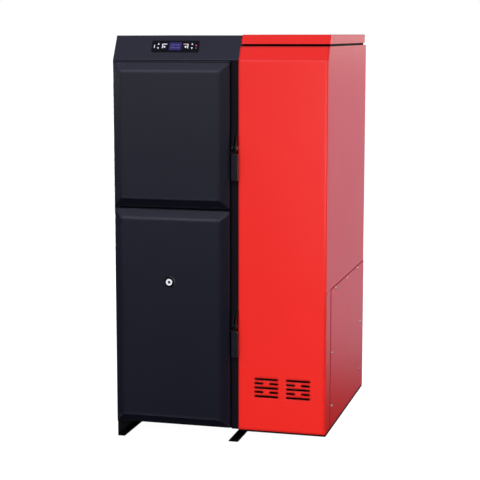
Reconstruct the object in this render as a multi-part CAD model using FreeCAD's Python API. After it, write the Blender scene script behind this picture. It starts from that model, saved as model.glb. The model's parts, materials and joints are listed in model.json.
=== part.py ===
"""Pellet boiler with a side hopper, as the pieces that it comes apart into. Millimetres.

It is drawn from the front left corner of its casing: x to the right, y to the back, z up from the floor.
Each piece is moved on export, so that the origin is the middle of the whole footprint, on the floor.
"""
import FreeCAD, Part
import math
import os

V = FreeCAD.Vector

# Casing
WIDTH = 745.0
BOILER_WIDTH = 441.0
DEPTH = 723.0
HEIGHT = 1400.0
BASE_HEIGHT = 55.0
SHEET = 1.5
BEND_RADIUS = 2.5
FLOOR_SHEET = 2.0
SLOPE_RISE = 83.0
SLOPE_RUN = 46.0
TOP_DROP = 3.0
FRAME_RECESS = 10.0
STRIP_WIDTH = 25.0
FACE_GAP = 0.3

# How far a cutting block reaches past the face that it opens
CUT = 1.0

# Base
RUNNER_SHEET = 4.0
LEFT_RUNNER_WIDTH = 25.0
SKID_WIDTH = 33.0
CENTRE_SKID_X = 398.0
CENTRE_SKID_SETBACK = 28.0
HOPPER_SKID_X = 640.0
SKID_SETBACK = 230.0
CROSSBAR_WIDTH = 44.0
CROSSBAR_SHEET = 3.0

# Doors
DOOR_SIDE_GAP = 4.0
DOOR_STRIP_GAP = 2.0
DOOR_GAP = 6.0
DOOR_END_GAP = 5.0
LOWER_DOOR_HEIGHT = 752.0
DOOR_PROUD = 34.0
DOOR_RIM = 12.0
DOOR_BEVEL = 30.0
DOOR_SHEET = 1.5
DOOR_EDGE_RADIUS = 2.5
DOOR_PLATE = 3.0
DOOR_PLAY = 0.5

# Door hinges
HINGE_X = 14.0
HINGE_Y = -6.0
HINGE_PIN_RADIUS = 4.0
HINGE_PLAY = 0.06
HINGE_TAB = 3.0
HINGE_TAB_WIDTH = 20.0
HINGE_TAB_LIP = 1.0
HINGE_BLOCK_WIDTH = 16.0
HINGE_BLOCK_HEIGHT = 28.0
HINGE_PIN_REACH = 26.0

# Door seals and fireproof pads
ROPE_RADIUS = 6.5
ROPE_CORNER = 20.0
CHANNEL_SHEET = 2.0
CHANNEL_DEPTH = 20.0
PAD_DEPTH = 26.0
SEAL_MARGIN = 22.0
SEAL_ROOM = 11.0

# Sight hole
SIGHT_X = 206.5
SIGHT_Z = 565.0
SIGHT_BORE = 4.5
SIGHT_RING_RADIUS = 14.5
SIGHT_RING_PROUD = 5.0
SIGHT_CHAMFER = 2.0
SIGHT_PLAY = 0.1
SIGHT_FLANGE_RADIUS = 18.5
SIGHT_FLANGE = 1.5
SIGHT_TUBE_RADIUS = 11.0
SIGHT_GLASS_RADIUS = 8.0
SIGHT_GLASS_THICKNESS = 4.0
SIGHT_GLASS_SETBACK = 18.0

# Latches
LATCH_RISES = {"upper": 207.0, "lower": 361.0}
LATCH_OFFSET = 4.5
LATCH_STANDOFF = 18.0
LATCH_BOLT_RADIUS = 4.0
LATCH_BOLT_HEAD_RADIUS = 6.5
LATCH_BOLT_HEAD = 3.0
LATCH_CHEEK = 3.0
LATCH_CHEEK_RADIUS = 13.0
LATCH_CHEEK_RISE = 50.0
LATCH_CHEEK_TIP = 6.0
LATCH_BASE = 3.0
LEVER_THICKNESS = 5.0
LEVER_WIDTH = 14.0
LEVER_EYE_RADIUS = 8.0
LEVER_PLAY = 0.5
LEVER_FINGER = 4.0
GRIP_START = 18.0
GRIP_LENGTH = 92.0
GRIP_WIDTH = 22.0
GRIP_DEPTH = 20.0
GRIP_SHOULDER = 8.0
GRIP_CORNER = 4.0
GRIP_ROUND = 3.0
GRIP_END = 4.0

# Boiler vessel
INSULATION = 32.0
INSULATION_PLAY = 0.5
VESSEL_FRONT = 30.0
TOP_BAY = 135.0
FRONT_PLATE = 8.0
JACKET_SHEET = 4.0
WATER_GAP = 36.0
FIREBOX_SHEET = 5.0
FIREBOX_TOP = 640.0
CHAMBER_RISE = 142.0
REAR_BAY = 182.0
TUBE_RADIUS = 30.0
TUBE_WALL = 3.0
TUBE_PLAY = 0.1
TUBE_ROWS = 3
TUBE_COLUMNS = 3
TUBE_PITCH_X = 82.0
TUBE_PITCH_Y = 110.0
TURBULATOR_WIDTH = 42.0
TURBULATOR_SHEET = 2.0
TURBULATOR_TURNS = 2.0
TURBULATOR_STEPS = 12
TURBULATOR_BAR_RADIUS = 3.0
TURBULATOR_BAR_LENGTH = 66.0

# Burner
BENCH_SHEET = 4.0
BENCH_HEIGHT = 210.0
BENCH_DEPTH = 330.0
BENCH_SETBACK = 60.0
POT_LENGTH = 130.0
POT_HEIGHT = 78.0
POT_TAPER = 18.0
POT_WALL = 6.0
POT_CENTRE_X = 232.0
POT_TO_CHUTE = 40.0
POT_HOLE_RADIUS = 4.0
POT_HOLES = 4
IGNITER_RADIUS = 9.0
IGNITER_RISE = 34.0
IGNITER_PLAY = 0.2
SLEEVE_WALL = 4.0
ASH_PAN_SHEET = 1.5
ASH_PAN_HEIGHT = 88.0
ASH_PAN_PLAY = 12.0
ASH_PAN_HANDLE_RADIUS = 4.0
ASH_PAN_HANDLE_SPAN = 90.0
ASH_PAN_HANDLE_REACH = 24.0

# Smoke fan and connections at the back
FAN_RADIUS = 92.0
FAN_DEPTH = 64.0
FAN_SHEET = 2.0
FAN_INLET_RADIUS = 50.0
FAN_DUCT_WIDTH = 96.0
FAN_DUCT_DROP = 250.0
IMPELLER_RADIUS = 74.0
IMPELLER_DEPTH = 40.0
IMPELLER_SHEET = 2.0
IMPELLER_BLADES = 10
IMPELLER_HUB_RADIUS = 16.0
SHAFT_RADIUS = 5.0
SHAFT_PLAY = 0.06
SHAFT_ENTRY = 23.0
FAN_MOTOR_RADIUS = 42.0
FAN_MOTOR_LENGTH = 70.0
MOTOR_BORE_ROOM = 12.0
MOTOR_CHAMFER = 5.0
FLUE_RADIUS = 40.0
FLUE_WALL = 2.0
FLUE_FLANGE = 4.0
SPIGOT_STEP = 1.0
FLUE_FLANGE_RADIUS = 46.0
REAR_REACH = 60.0
PIPE_RADIUS = 16.6
PIPE_WALL = 3.2
PIPE_STEP = 1.6
PIPE_REACH = 45.0
PIPE_ENTRY = 4.0
PIPE_INSET = 52.0
SUPPLY_DROP = 72.0
RETURN_HEIGHT = 230.0
DRAIN_HEIGHT = 96.0
REAR_HOLE_PLAY = 2.0

# Hopper
LID_EDGE = 30.5
LID_GAP = 8.0
LID_REAR_MARGIN = 28.0
LID_RETURN = 18.0
LID_SIDE_GAP = 1.0
LID_RADIUS = 3.0
SEAL_WIDTH = 9.0
TANK_MARGIN = 22.0
TANK_KNEE = 960.0
TANK_FOOT_CLEAR = 6.0
TANK_OUTLET_WIDTH = 60.0
TANK_OUTLET_LENGTH = 84.0
TANK_FLANGE = 12.0

# Hopper lid hinges
LID_HINGE_Y = 11.0
LID_HINGE_Z = 12.0
LID_HINGE_SPACING = 170.0
LID_HINGE_LENGTH = 60.0
LID_KNUCKLE_LENGTH = 24.0
LID_KNUCKLE_RADIUS = 5.0
LID_KNUCKLE_PLAY = 0.4
LID_PIN_RADIUS = 2.5
LID_LEAF = 3.0

# Vents in the hopper front: alternate rows of whole and parted slots
VENT_GROUPS = (498.0, 608.5)
VENT_LENGTH = 82.0
VENT_HEIGHT = 7.2
VENT_PITCH = 15.0
VENT_ROWS = 5
VENT_LOWEST = 176.0
VENT_BRIDGE = 22.0
VENT_CORNER = 2.5

# Service cover in the hopper side
COVER_FRONT = 78.0
COVER_TOP = 545.0
COVER_BOTTOM_GAP = 4.0
COVER_GAP = 3.0
COVER_SHEET = 2.5
COVER_FLANGE = 48.0
COVER_TONGUE = 24.0
COVER_TOP_SCREWS = (164.0, 379.0, 593.0)
COVER_TOP_SCREW_INSET = 11.0
COVER_SIDE_SCREWS = (131.0, 318.0)
COVER_FRONT_SCREW_INSET = 33.0
COVER_REAR_SCREW_INSET = 58.0
SCREW_RADIUS = 2.0
SCREW_PLAY = 0.2
SCREW_HEAD_RADIUS = 4.6
SCREW_HEAD = 1.8
SCREW_CROWN_RADIUS = 3.4

# Fuel screw
AUGER_X = 522.0
AUGER_REAR_ROOM = 113.0
AUGER_LOW_Z = 300.0
AUGER_LENGTH = 480.0
AUGER_ANGLE = 43.0
AUGER_RADIUS = 34.0
AUGER_WALL = 2.5
AUGER_END = 4.0
SCREW_FLIGHT_RADIUS = 27.5
SCREW_FLIGHT = 3.0
SCREW_PITCH = 52.0
SCREW_SHAFT_RADIUS = 9.0
FLIGHT_STEPS = 18
CHUTE_RADIUS = 30.0
CHUTE_WALL = 2.5
CHUTE_BACK = 70.0
CHUTE_ANGLE = 40.0
CHUTE_END_REACH = 26.0
CHUTE_PLAY = 0.3
GEARBOX_SIZE = 76.0
GEARBOX_LENGTH = 44.0
GEAR_MOTOR_RADIUS = 32.0
GEAR_MOTOR_LENGTH = 58.0

# Key panel on the slope
KEYPAD_X = 214.5
KEYPAD_RISE = 53.0
KEYPAD_WIDTH = 166.0
KEYPAD_HEIGHT = 43.0
KEYPAD_BEZEL = 2.0
KEYPAD_BOX_WIDTH = 156.0
KEYPAD_BOX_HEIGHT = 36.0
KEYPAD_BOX_DEPTH = 24.0
KEYPAD_CORNER = 4.0
KEYPAD_PLAY = 0.3
DISPLAY_WIDTH = 44.0
DISPLAY_HEIGHT = 30.0
DISPLAY_THICKNESS = 1.6
BIG_KEY = 21.0
SMALL_KEY = 10.5
KEY_CORNER = 2.0
KEY_PROUD = 1.2
KEY_DEPTH = 5.0
KEY_TRAVEL = 0.8
KEY_PLAY = 0.25
BIG_KEY_OFFSET = 37.5
SMALL_KEY_OFFSET = 59.5
SMALL_KEY_RISE = 8.0

# Mains inlet
INLET_WIDTH = 48.0
INLET_HEIGHT = 28.0
INLET_BODY_WIDTH = 28.0
INLET_BODY_HEIGHT = 20.0
INLET_DEPTH = 24.0
INLET_FLANGE = 2.5
INLET_CAVITY = 17.0
INLET_PIN_WIDTH = 2.0
INLET_PIN_HEIGHT = 6.0
INLET_PIN_SPACING = 7.0
INLET_X = 640.0
INLET_Z = 190.0

# Places worked out from the sizes above
FLOOR_TOP = BASE_HEIGHT + FLOOR_SHEET
BOILER_TOP = HEIGHT - TOP_DROP
FOLD_Z = BOILER_TOP - SLOPE_RISE
SLOPE_ANGLE = math.degrees(math.atan2(SLOPE_RISE, SLOPE_RUN))
SLOPE_FRAME = FreeCAD.Placement(V(KEYPAD_X, 0, FOLD_Z), FreeCAD.Rotation(V(1, 0, 0), SLOPE_ANGLE))
STRIP_X = BOILER_WIDTH - STRIP_WIDTH
DOOR_LEFT = DOOR_SIDE_GAP
DOOR_RIGHT = STRIP_X - DOOR_STRIP_GAP
DOOR_SPANS = {
    "lower": (BASE_HEIGHT + DOOR_END_GAP, BASE_HEIGHT + DOOR_END_GAP + LOWER_DOOR_HEIGHT),
    "upper": (BASE_HEIGHT + DOOR_END_GAP + LOWER_DOOR_HEIGHT + DOOR_GAP, FOLD_Z - DOOR_END_GAP),
}
LID_BOTTOM = HEIGHT - LID_EDGE
RIM_TOP = LID_BOTTOM - LID_GAP
LID_REAR = DEPTH - LID_REAR_MARGIN
LID_LEFT = BOILER_WIDTH + LID_SIDE_GAP
LID_AXIS_Y = LID_REAR + LID_HINGE_Y
LID_AXIS_Z = HEIGHT - LID_HINGE_Z
LATCH_X = (STRIP_X + BOILER_WIDTH) / 2 + LATCH_OFFSET
LATCH_HEIGHTS = {name: DOOR_SPANS[name][0] + rise for name, rise in LATCH_RISES.items()}
VESSEL_LEFT = SHEET + INSULATION + 2 * INSULATION_PLAY
VESSEL_RIGHT = BOILER_WIDTH - SHEET - INSULATION - 2 * INSULATION_PLAY
VESSEL_MIDDLE = (VESSEL_LEFT + VESSEL_RIGHT) / 2
VESSEL_TOP = BOILER_TOP - TOP_BAY
SUPPLY_HEIGHT = VESSEL_TOP - SUPPLY_DROP
JACKET_FRONT = VESSEL_FRONT + FRONT_PLATE
JACKET_REAR = DEPTH - REAR_BAY
BOX_LEFT = VESSEL_LEFT + JACKET_SHEET + WATER_GAP + FIREBOX_SHEET
BOX_RIGHT = VESSEL_RIGHT - JACKET_SHEET - WATER_GAP - FIREBOX_SHEET
BOX_REAR = JACKET_REAR - JACKET_SHEET - WATER_GAP - FIREBOX_SHEET
FIREBOX_FLOOR = FLOOR_TOP + JACKET_SHEET + WATER_GAP + FIREBOX_SHEET
CHAMBER_FLOOR = DOOR_SPANS["upper"][0] + CHAMBER_RISE
CHAMBER_TOP = VESSEL_TOP - JACKET_SHEET - WATER_GAP - FIREBOX_SHEET
FAN_HEIGHT = (CHAMBER_FLOOR + CHAMBER_TOP) / 2
MOUTHS = {"lower": (FIREBOX_FLOOR, FIREBOX_TOP), "upper": (CHAMBER_FLOOR, CHAMBER_TOP)}
BENCH_TOP = FIREBOX_FLOOR + BENCH_HEIGHT
IGNITER_Z = BENCH_TOP + IGNITER_RISE
FRONT_REACH = DOOR_PROUD + SIGHT_RING_PROUD
COVER_FACE = WIDTH - SHEET + COVER_SHEET
ORIGIN = V((COVER_FACE + SCREW_HEAD) / 2, (DEPTH + REAR_REACH - FRONT_REACH) / 2, 0)
AUGER_LOW_Y = DEPTH - AUGER_REAR_ROOM
AUGER_TURN = 90.0 - AUGER_ANGLE
AUGER_LOW_END = V(AUGER_X, AUGER_LOW_Y, AUGER_LOW_Z)
AUGER_FRAME = FreeCAD.Placement(AUGER_LOW_END, FreeCAD.Rotation(V(1, 0, 0), AUGER_TURN))
AUGER_SLOPE = math.radians(AUGER_ANGLE)
TANK_OUTLET_Y = AUGER_LOW_Y - TANK_OUTLET_LENGTH
TANK_OUTLET_FRONT = TANK_OUTLET_Y - TANK_OUTLET_LENGTH / 2
INLET_FRONT_Z = AUGER_LOW_Z + (AUGER_LOW_Y - TANK_OUTLET_FRONT) * math.tan(AUGER_SLOPE)
INLET_TOP = INLET_FRONT_Z + AUGER_RADIUS / math.cos(AUGER_SLOPE) + TANK_FOOT_CLEAR
TANK_FOOT = INLET_TOP + TANK_FLANGE
CHUTE_TOP = AUGER_FRAME.multVec(V(0, 0, AUGER_LENGTH - CHUTE_BACK))
POT_CENTRE_Y = CHUTE_TOP.y - POT_TO_CHUTE
CHUTE_DROP = V(-math.cos(math.radians(CHUTE_ANGLE)), 0, -math.sin(math.radians(CHUTE_ANGLE)))
CHUTE_LENGTH = (CHUTE_TOP.x - BOX_RIGHT + CHUTE_END_REACH) / -CHUTE_DROP.x


def box(x0, x1, y0, y1, z0, z1):
    """A block between two corners."""
    return Part.makeBox(x1 - x0, y1 - y0, z1 - z0, V(x0, y0, z0))


def rod_x(radius, x0, x1, y, z):
    """A round bar along x."""
    return Part.makeCylinder(radius, x1 - x0, V(x0, y, z), V(1, 0, 0))


def rod_y(radius, y0, y1, x, z):
    """A round bar along y."""
    return Part.makeCylinder(radius, y1 - y0, V(x, y0, z), V(0, 1, 0))


def rod_z(radius, z0, z1, x, y):
    """A round bar along z."""
    return Part.makeCylinder(radius, z1 - z0, V(x, y, z0))


def side_face(points, x):
    """A flat face across x, from its corners given as y and z."""
    return flat_face([V(x, y, z) for y, z in points])


def side_prism(points, x0, x1):
    """An outline of y and z corners, carried from x0 to x1."""
    return side_face(points, x0).extrude(V(x1 - x0, 0, 0))


def joined(first, *others):
    """One solid from pieces that are welded or moulded together."""
    return first.multiFuse(list(others)).removeSplitter()


def rounded(solid, radius, chosen):
    """Rounds the edges that the test picks."""
    return solid.makeFillet(radius, [edge for edge in solid.Edges if chosen(edge.BoundBox)])


def slope_y(z):
    """How far back the sloped front stands at a height above its fold."""
    return SLOPE_RUN * (z - FOLD_Z) / SLOPE_RISE


def flat_face(corners):
    return Part.Face(Part.makePolygon(corners + corners[:1]))


def skin(outlines):
    """A solid through outlines of as many corners, with flat faces between them.

    Where the outlines turn, opposite sides are parted the same way, so that a thin strip keeps its thickness.
    """
    count = len(outlines[0])
    faces = [outlines[0], outlines[-1]]
    for low, high in zip(outlines, outlines[1:]):
        for i in range(count):
            j = (i + 1) % count
            if i < count / 2:
                faces += [[low[i], low[j], high[j]], [low[i], high[j], high[i]]]
            else:
                faces += [[low[i], low[j], high[i]], [low[j], high[j], high[i]]]
    shell = Part.makeShell([flat_face(corners) for corners in faces])
    return Part.makeSolid(shell).removeSplitter()


def bent_line(points, radius):
    """A line through points, with an arc at each bend."""
    edges = []
    start = points[0]
    for before, corner, after in zip(points, points[1:], points[2:]):
        back = (before - corner).normalize()
        ahead = (after - corner).normalize()
        half = back.getAngle(ahead) / 2
        run = radius / math.tan(half)
        middle = corner + (back + ahead).normalize() * (radius / math.sin(half) - radius)
        edges.append(Part.LineSegment(start, corner + back * run).toShape())
        start = corner + ahead * run
        edges.append(Part.Arc(corner + back * run, middle, start).toShape())
    edges.append(Part.LineSegment(start, points[-1]).toShape())
    return Part.Wire(edges)


def folded_sheet(points, width):
    """A sheet folded along a line of y and z points, carried to the right from the line's own x."""
    profile = bent_line(points, BEND_RADIUS).makeOffset2D(SHEET, 2, True, True)
    return profile.extrude(V(width, 0, 0))


def level_corners(x0, x1, y0, y1, z):
    """The corners of a level rectangle."""
    return [V(x0, y0, z), V(x1, y0, z), V(x1, y1, z), V(x0, y1, z)]


def front_corners(inset, y, z0, z1):
    """The corners of a rectangle facing the front, set in from a door's edges."""
    left = DOOR_LEFT + inset
    right = DOOR_RIGHT - inset
    low = z0 + inset
    high = z1 - inset
    return [V(left, y, low), V(right, y, low), V(right, y, high), V(left, y, high)]


def seal_loop(span):
    """The middle of a door seal's rope: left, right, bottom and top."""
    low, high = span
    return BOX_LEFT - SEAL_MARGIN, BOX_RIGHT + SEAL_MARGIN, low - SEAL_MARGIN, high + SEAL_MARGIN


def grown(loop, by):
    """A loop's four sides moved outwards."""
    return loop[0] - by, loop[1] + by, loop[2] - by, loop[3] + by


def loop_block(loop, y0, y1, corner):
    """A block that fills a loop, with round corners."""
    block = box(loop[0], loop[1], y0, y1, loop[2], loop[3])
    return rounded(block, corner, lambda b: b.YLength > b.XLength + b.ZLength)


# Base and casing


def base_frame():
    """An angle on the left, two flat skids, and two channels across them that carry the casing."""
    rear = DEPTH - CENTRE_SKID_SETBACK
    upright = box(SHEET, SHEET + RUNNER_SHEET, 0, rear, 0, BASE_HEIGHT)
    flange = box(SHEET, SHEET + LEFT_RUNNER_WIDTH, 0, rear, 0, RUNNER_SHEET)
    centre = box(CENTRE_SKID_X, CENTRE_SKID_X + SKID_WIDTH, CENTRE_SKID_SETBACK, rear, 0, RUNNER_SHEET)
    outer = box(HOPPER_SKID_X, HOPPER_SKID_X + SKID_WIDTH, SKID_SETBACK, rear, 0, RUNNER_SHEET)
    bars = []
    for y in (SKID_SETBACK, rear - CROSSBAR_WIDTH):
        end = HOPPER_SKID_X + SKID_WIDTH
        bar = box(SHEET + RUNNER_SHEET, end, y, y + CROSSBAR_WIDTH, RUNNER_SHEET, BASE_HEIGHT)
        hollow = box(0, end + CUT, y + CROSSBAR_SHEET, y + CROSSBAR_WIDTH - CROSSBAR_SHEET,
                     RUNNER_SHEET - CUT, BASE_HEIGHT - CROSSBAR_SHEET)
        bars.append(bar.cut(hollow))
    return joined(upright, flange, centre, outer, *bars)


def casing_floor():
    """The floor sheet under the boiler and the hopper."""
    return box(SHEET, WIDTH - 2 * SHEET, FRAME_RECESS + SHEET, DEPTH - SHEET, BASE_HEIGHT, FLOOR_TOP)


def boiler_outline(inset):
    """The boiler's side outline, set in from the casing's outer faces."""
    front = [(0, BASE_HEIGHT), (0, FOLD_Z), (SLOPE_RUN, BOILER_TOP)]
    corners = front + [(DEPTH, BOILER_TOP), (DEPTH, BASE_HEIGHT)]
    face = side_face(corners, 0)
    return face.makeOffset2D(-inset, 2) if inset else face


def slope_rounded(panel):
    """Rounds a side panel's corners at the sloped front's folds."""
    return rounded(panel, BEND_RADIUS, lambda b: b.XLength > SHEET / 2 and b.YMax < SLOPE_RUN + CUT
                   and b.ZMin > FOLD_Z - CUT)


def left_side_panel():
    return slope_rounded(boiler_outline(0).extrude(V(SHEET, 0, 0)))


def partition_panel():
    """The wall between the boiler and the hopper, with the chute's hole."""
    panel = boiler_outline(SHEET + FACE_GAP).extrude(V(SHEET, 0, 0))
    panel.translate(V(BOILER_WIDTH - SHEET, 0, 0))
    below_floor = box(0, WIDTH, 0, DEPTH, 0, FLOOR_TOP)
    lip_top = FOLD_Z + SHEET + BEND_RADIUS + FACE_GAP
    lip_room = box(0, WIDTH, 0, FRAME_RECESS + SHEET + FACE_GAP, FOLD_Z - FACE_GAP, lip_top)
    return panel.cut(below_floor).cut(lip_room).cut(chute_bar(CHUTE_RADIUS + CHUTE_PLAY))


def control_fascia():
    """One folded sheet: lip above the door, slope with the key panel's window, and the top."""
    sheet = folded_sheet([
        V(SHEET, FRAME_RECESS + SHEET, FOLD_Z),
        V(SHEET, 0, FOLD_Z),
        V(SHEET, SLOPE_RUN, BOILER_TOP),
        V(SHEET, DEPTH - SHEET, BOILER_TOP),
    ], BOILER_WIDTH - SHEET)
    half_width = KEYPAD_BOX_WIDTH / 2 + KEYPAD_PLAY
    half_height = KEYPAD_BOX_HEIGHT / 2 + KEYPAD_PLAY
    window = box(-half_width, half_width, KEYPAD_RISE - half_height, KEYPAD_RISE + half_height,
                 -SLOPE_RUN, SLOPE_RUN)
    return sheet.cut(on_slope(window))


def hinge_tab_heights():
    """The bottoms of the tabs that stand in the gaps below, between and above the doors."""
    gaps = (
        (BASE_HEIGHT, DOOR_SPANS["lower"][0]),
        (DOOR_SPANS["lower"][1], DOOR_SPANS["upper"][0]),
        (DOOR_SPANS["upper"][1], FOLD_Z),
    )
    return [(low + high - HINGE_TAB) / 2 for low, high in gaps]


def front_frame():
    """The sheet behind the doors, with their openings, the strip at their right, and the hinge tabs."""
    sheet = box(SHEET, STRIP_X + SHEET, FRAME_RECESS, FRAME_RECESS + SHEET, BASE_HEIGHT, FOLD_Z)
    for span in MOUTHS.values():
        x0, x1, z0, z1 = grown(seal_loop(span), ROPE_RADIUS + CHANNEL_SHEET + SEAL_ROOM)
        sheet = sheet.cut(box(x0, x1, 0, DEPTH, max(z0, FLOOR_TOP), z1))
    strip = box(STRIP_X, BOILER_WIDTH, 0, SHEET, BASE_HEIGHT, FOLD_Z)
    web = box(STRIP_X, STRIP_X + SHEET, 0, FRAME_RECESS + SHEET, BASE_HEIGHT, FOLD_Z)
    tabs = []
    half = HINGE_TAB_WIDTH / 2
    front = HINGE_Y - HINGE_PIN_RADIUS - HINGE_TAB_LIP
    for z in hinge_tab_heights():
        tab = box(HINGE_X - half, HINGE_X + half, front, FRAME_RECESS, z, z + HINGE_TAB)
        tabs.append(tab.cut(rod_z(HINGE_PIN_RADIUS, z - CUT, z + HINGE_TAB + CUT, HINGE_X, HINGE_Y)))
    return joined(sheet, strip, web, *tabs)


def door_hinge_pins():
    """Three fixed pins on one line: the middle one carries both doors."""
    low, middle, high = hinge_tab_heights()
    spans = (
        (low, low + HINGE_TAB + HINGE_PIN_REACH),
        (middle - HINGE_PIN_REACH, middle + HINGE_TAB + HINGE_PIN_REACH),
        (high - HINGE_PIN_REACH, high + HINGE_TAB),
    )
    return [rod_z(HINGE_PIN_RADIUS, z0, z1, HINGE_X, HINGE_Y) for z0, z1 in spans]


def rear_panel():
    """The back sheet, stepped down behind the hopper, with holes for flue, pipes and inlet."""
    boiler = box(SHEET, BOILER_WIDTH, DEPTH - SHEET, DEPTH, FLOOR_TOP, BOILER_TOP)
    hopper = box(BOILER_WIDTH, WIDTH - SHEET, DEPTH - SHEET, DEPTH, FLOOR_TOP, RIM_TOP - SHEET)
    tongue_front = DEPTH - COVER_REAR_SCREW_INSET - COVER_TONGUE
    return_flange = box(WIDTH - 2 * SHEET, WIDTH - SHEET, tongue_front, DEPTH - SHEET,
                        BASE_HEIGHT, COVER_TOP - COVER_FLANGE)
    panel = joined(boiler, hopper, return_flange).cut(screw_holes())
    holes = [rod_y(FLUE_RADIUS + REAR_HOLE_PLAY, 0, 2 * DEPTH, flue_x(), flue_z())]
    holes += [rod_y(PIPE_RADIUS + REAR_HOLE_PLAY, 0, 2 * DEPTH, x, z) for x, z in pipe_places()]
    half_width = INLET_BODY_WIDTH / 2 + FACE_GAP
    half_height = INLET_BODY_HEIGHT / 2 + FACE_GAP
    holes.append(box(INLET_X - half_width, INLET_X + half_width, 0, 2 * DEPTH,
                     INLET_Z - half_height, INLET_Z + half_height))
    return panel.cut(Part.makeCompound(holes))


# Doors


def pan(inset, rim, depth, z0, z1, top_inset):
    """A bevelled tray block: a straight rim and a sloped border up to a flat face."""
    return skin([
        front_corners(inset, 0, z0, z1),
        front_corners(inset, -rim, z0, z1),
        front_corners(top_inset, -depth, z0, z1),
    ])


def door_shell(span):
    """The pressed sheet front of a door, with holes for the hinge pins in its ends."""
    z0, z1 = span
    rise = DOOR_PROUD - DOOR_RIM
    length = math.hypot(rise, DOOR_BEVEL)
    outer = pan(0, DOOR_RIM, DOOR_PROUD, z0, z1, DOOR_BEVEL)
    outer = rounded(outer, DOOR_EDGE_RADIUS, lambda b: b.YMax < -DOOR_RIM / 2)
    inner_rim = DOOR_RIM + DOOR_SHEET * (rise - length) / DOOR_BEVEL
    inner_top = DOOR_SHEET * length / rise + (rise - DOOR_SHEET) * DOOR_BEVEL / rise
    inner = pan(DOOR_SHEET, inner_rim, DOOR_PROUD - DOOR_SHEET, z0, z1, inner_top)
    pins = rod_z(HINGE_PIN_RADIUS + DOOR_PLAY, z0 - CUT, z1 + CUT, HINGE_X, HINGE_Y)
    return outer.cut(inner).cut(pins)


def door_plate(span, mouth):
    """The door's flat inner plate, with its hinge blocks and the channel that holds the rope seal."""
    z0, z1 = span
    inset = DOOR_SHEET + DOOR_PLAY
    low = z0 + inset
    high = z1 - inset
    plate = box(DOOR_LEFT + inset, DOOR_RIGHT - inset, -DOOR_PLATE, 0, low, high)
    x0 = DOOR_LEFT + inset
    x1 = x0 + HINGE_BLOCK_WIDTH
    blocks = [box(x0, x1, -DOOR_RIM + DOOR_SHEET, 0, z, z + HINGE_BLOCK_HEIGHT)
              for z in (low, high - HINGE_BLOCK_HEIGHT)]
    bore = rod_z(HINGE_PIN_RADIUS + HINGE_PLAY, z0 - CUT, z1 + CUT, HINGE_X, HINGE_Y)
    loop = seal_loop(mouth)
    round_out = ROPE_CORNER + ROPE_RADIUS
    outer = loop_block(grown(loop, ROPE_RADIUS + CHANNEL_SHEET), 0, CHANNEL_DEPTH, round_out)
    groove = loop_block(grown(loop, ROPE_RADIUS), 0, CHANNEL_DEPTH, round_out - CHANNEL_SHEET)
    inner = loop_block(grown(loop, -ROPE_RADIUS), 0, CHANNEL_DEPTH, ROPE_CORNER - ROPE_RADIUS)
    inside = loop_block(grown(loop, -ROPE_RADIUS - CHANNEL_SHEET), 0, CHANNEL_DEPTH, pad_corner())
    walls = outer.cut(groove).fuse(inner.cut(inside))
    return joined(plate, *blocks, *walls.Solids).cut(bore)


def pad_corner():
    return ROPE_CORNER - ROPE_RADIUS - CHANNEL_SHEET


def door_pad(mouth):
    """The fireproof board inside the seal."""
    loop = grown(seal_loop(mouth), -ROPE_RADIUS - CHANNEL_SHEET - FACE_GAP)
    return loop_block(loop, 0, PAD_DEPTH, pad_corner())


def door_seal(mouth):
    """A glass rope laid round in its channel, standing up to the vessel's front plate."""
    x0, x1, z0, z1 = seal_loop(mouth)
    y = VESSEL_FRONT - FACE_GAP - ROPE_RADIUS
    radius = ROPE_RADIUS - FACE_GAP
    bend = ROPE_CORNER
    runs = []
    for z in (z0, z1):
        runs.append(rod_x(radius, x0 + bend, x1 - bend, y, z))
    for x in (x0, x1):
        runs.append(rod_z(radius, z0 + bend, z1 - bend, x, y))
    for x, z, start in ((x1 - bend, z1 - bend, V(1, 0, 0)), (x0 + bend, z1 - bend, V(0, 0, 1)),
                        (x0 + bend, z0 + bend, V(-1, 0, 0)), (x1 - bend, z0 + bend, V(0, 0, -1))):
        middle = V(x, y, z)
        tangent = V(0, 1, 0).cross(start)
        ring = Part.Face(Part.Wire(Part.makeCircle(radius, middle + start * bend, tangent)))
        runs.append(ring.revolve(middle, V(0, -1, 0), 90))
    return joined(*runs)


def sight_bezel():
    """A turned ring on the lower door, with a tube through to the fire."""
    face = -DOOR_PROUD
    profile = [
        (SIGHT_BORE, face - SIGHT_RING_PROUD),
        (SIGHT_RING_RADIUS - SIGHT_CHAMFER, face - SIGHT_RING_PROUD),
        (SIGHT_RING_RADIUS, face - SIGHT_RING_PROUD + SIGHT_CHAMFER),
        (SIGHT_RING_RADIUS, face - SIGHT_FLANGE),
        (SIGHT_FLANGE_RADIUS, face - SIGHT_FLANGE),
        (SIGHT_FLANGE_RADIUS, face),
        (SIGHT_TUBE_RADIUS, face),
        (SIGHT_TUBE_RADIUS, PAD_DEPTH),
        (SIGHT_GLASS_RADIUS, PAD_DEPTH),
        (SIGHT_GLASS_RADIUS, face + SIGHT_GLASS_SETBACK),
        (SIGHT_BORE, face + SIGHT_GLASS_SETBACK),
    ]
    section = flat_face([V(SIGHT_X + r, y, SIGHT_Z) for r, y in profile])
    return section.revolve(V(SIGHT_X, 0, SIGHT_Z), V(0, 1, 0), 360)


def sight_glass():
    """The heat glass behind the ring."""
    start = -DOOR_PROUD + SIGHT_GLASS_SETBACK
    return rod_y(SIGHT_GLASS_RADIUS - SIGHT_PLAY, start, start + SIGHT_GLASS_THICKNESS, SIGHT_X, SIGHT_Z)


def sight_hole():
    return rod_y(SIGHT_TUBE_RADIUS + SIGHT_PLAY, -2 * DOOR_PROUD, 2 * PAD_DEPTH, SIGHT_X, SIGHT_Z)


# Latches on the strip


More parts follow.
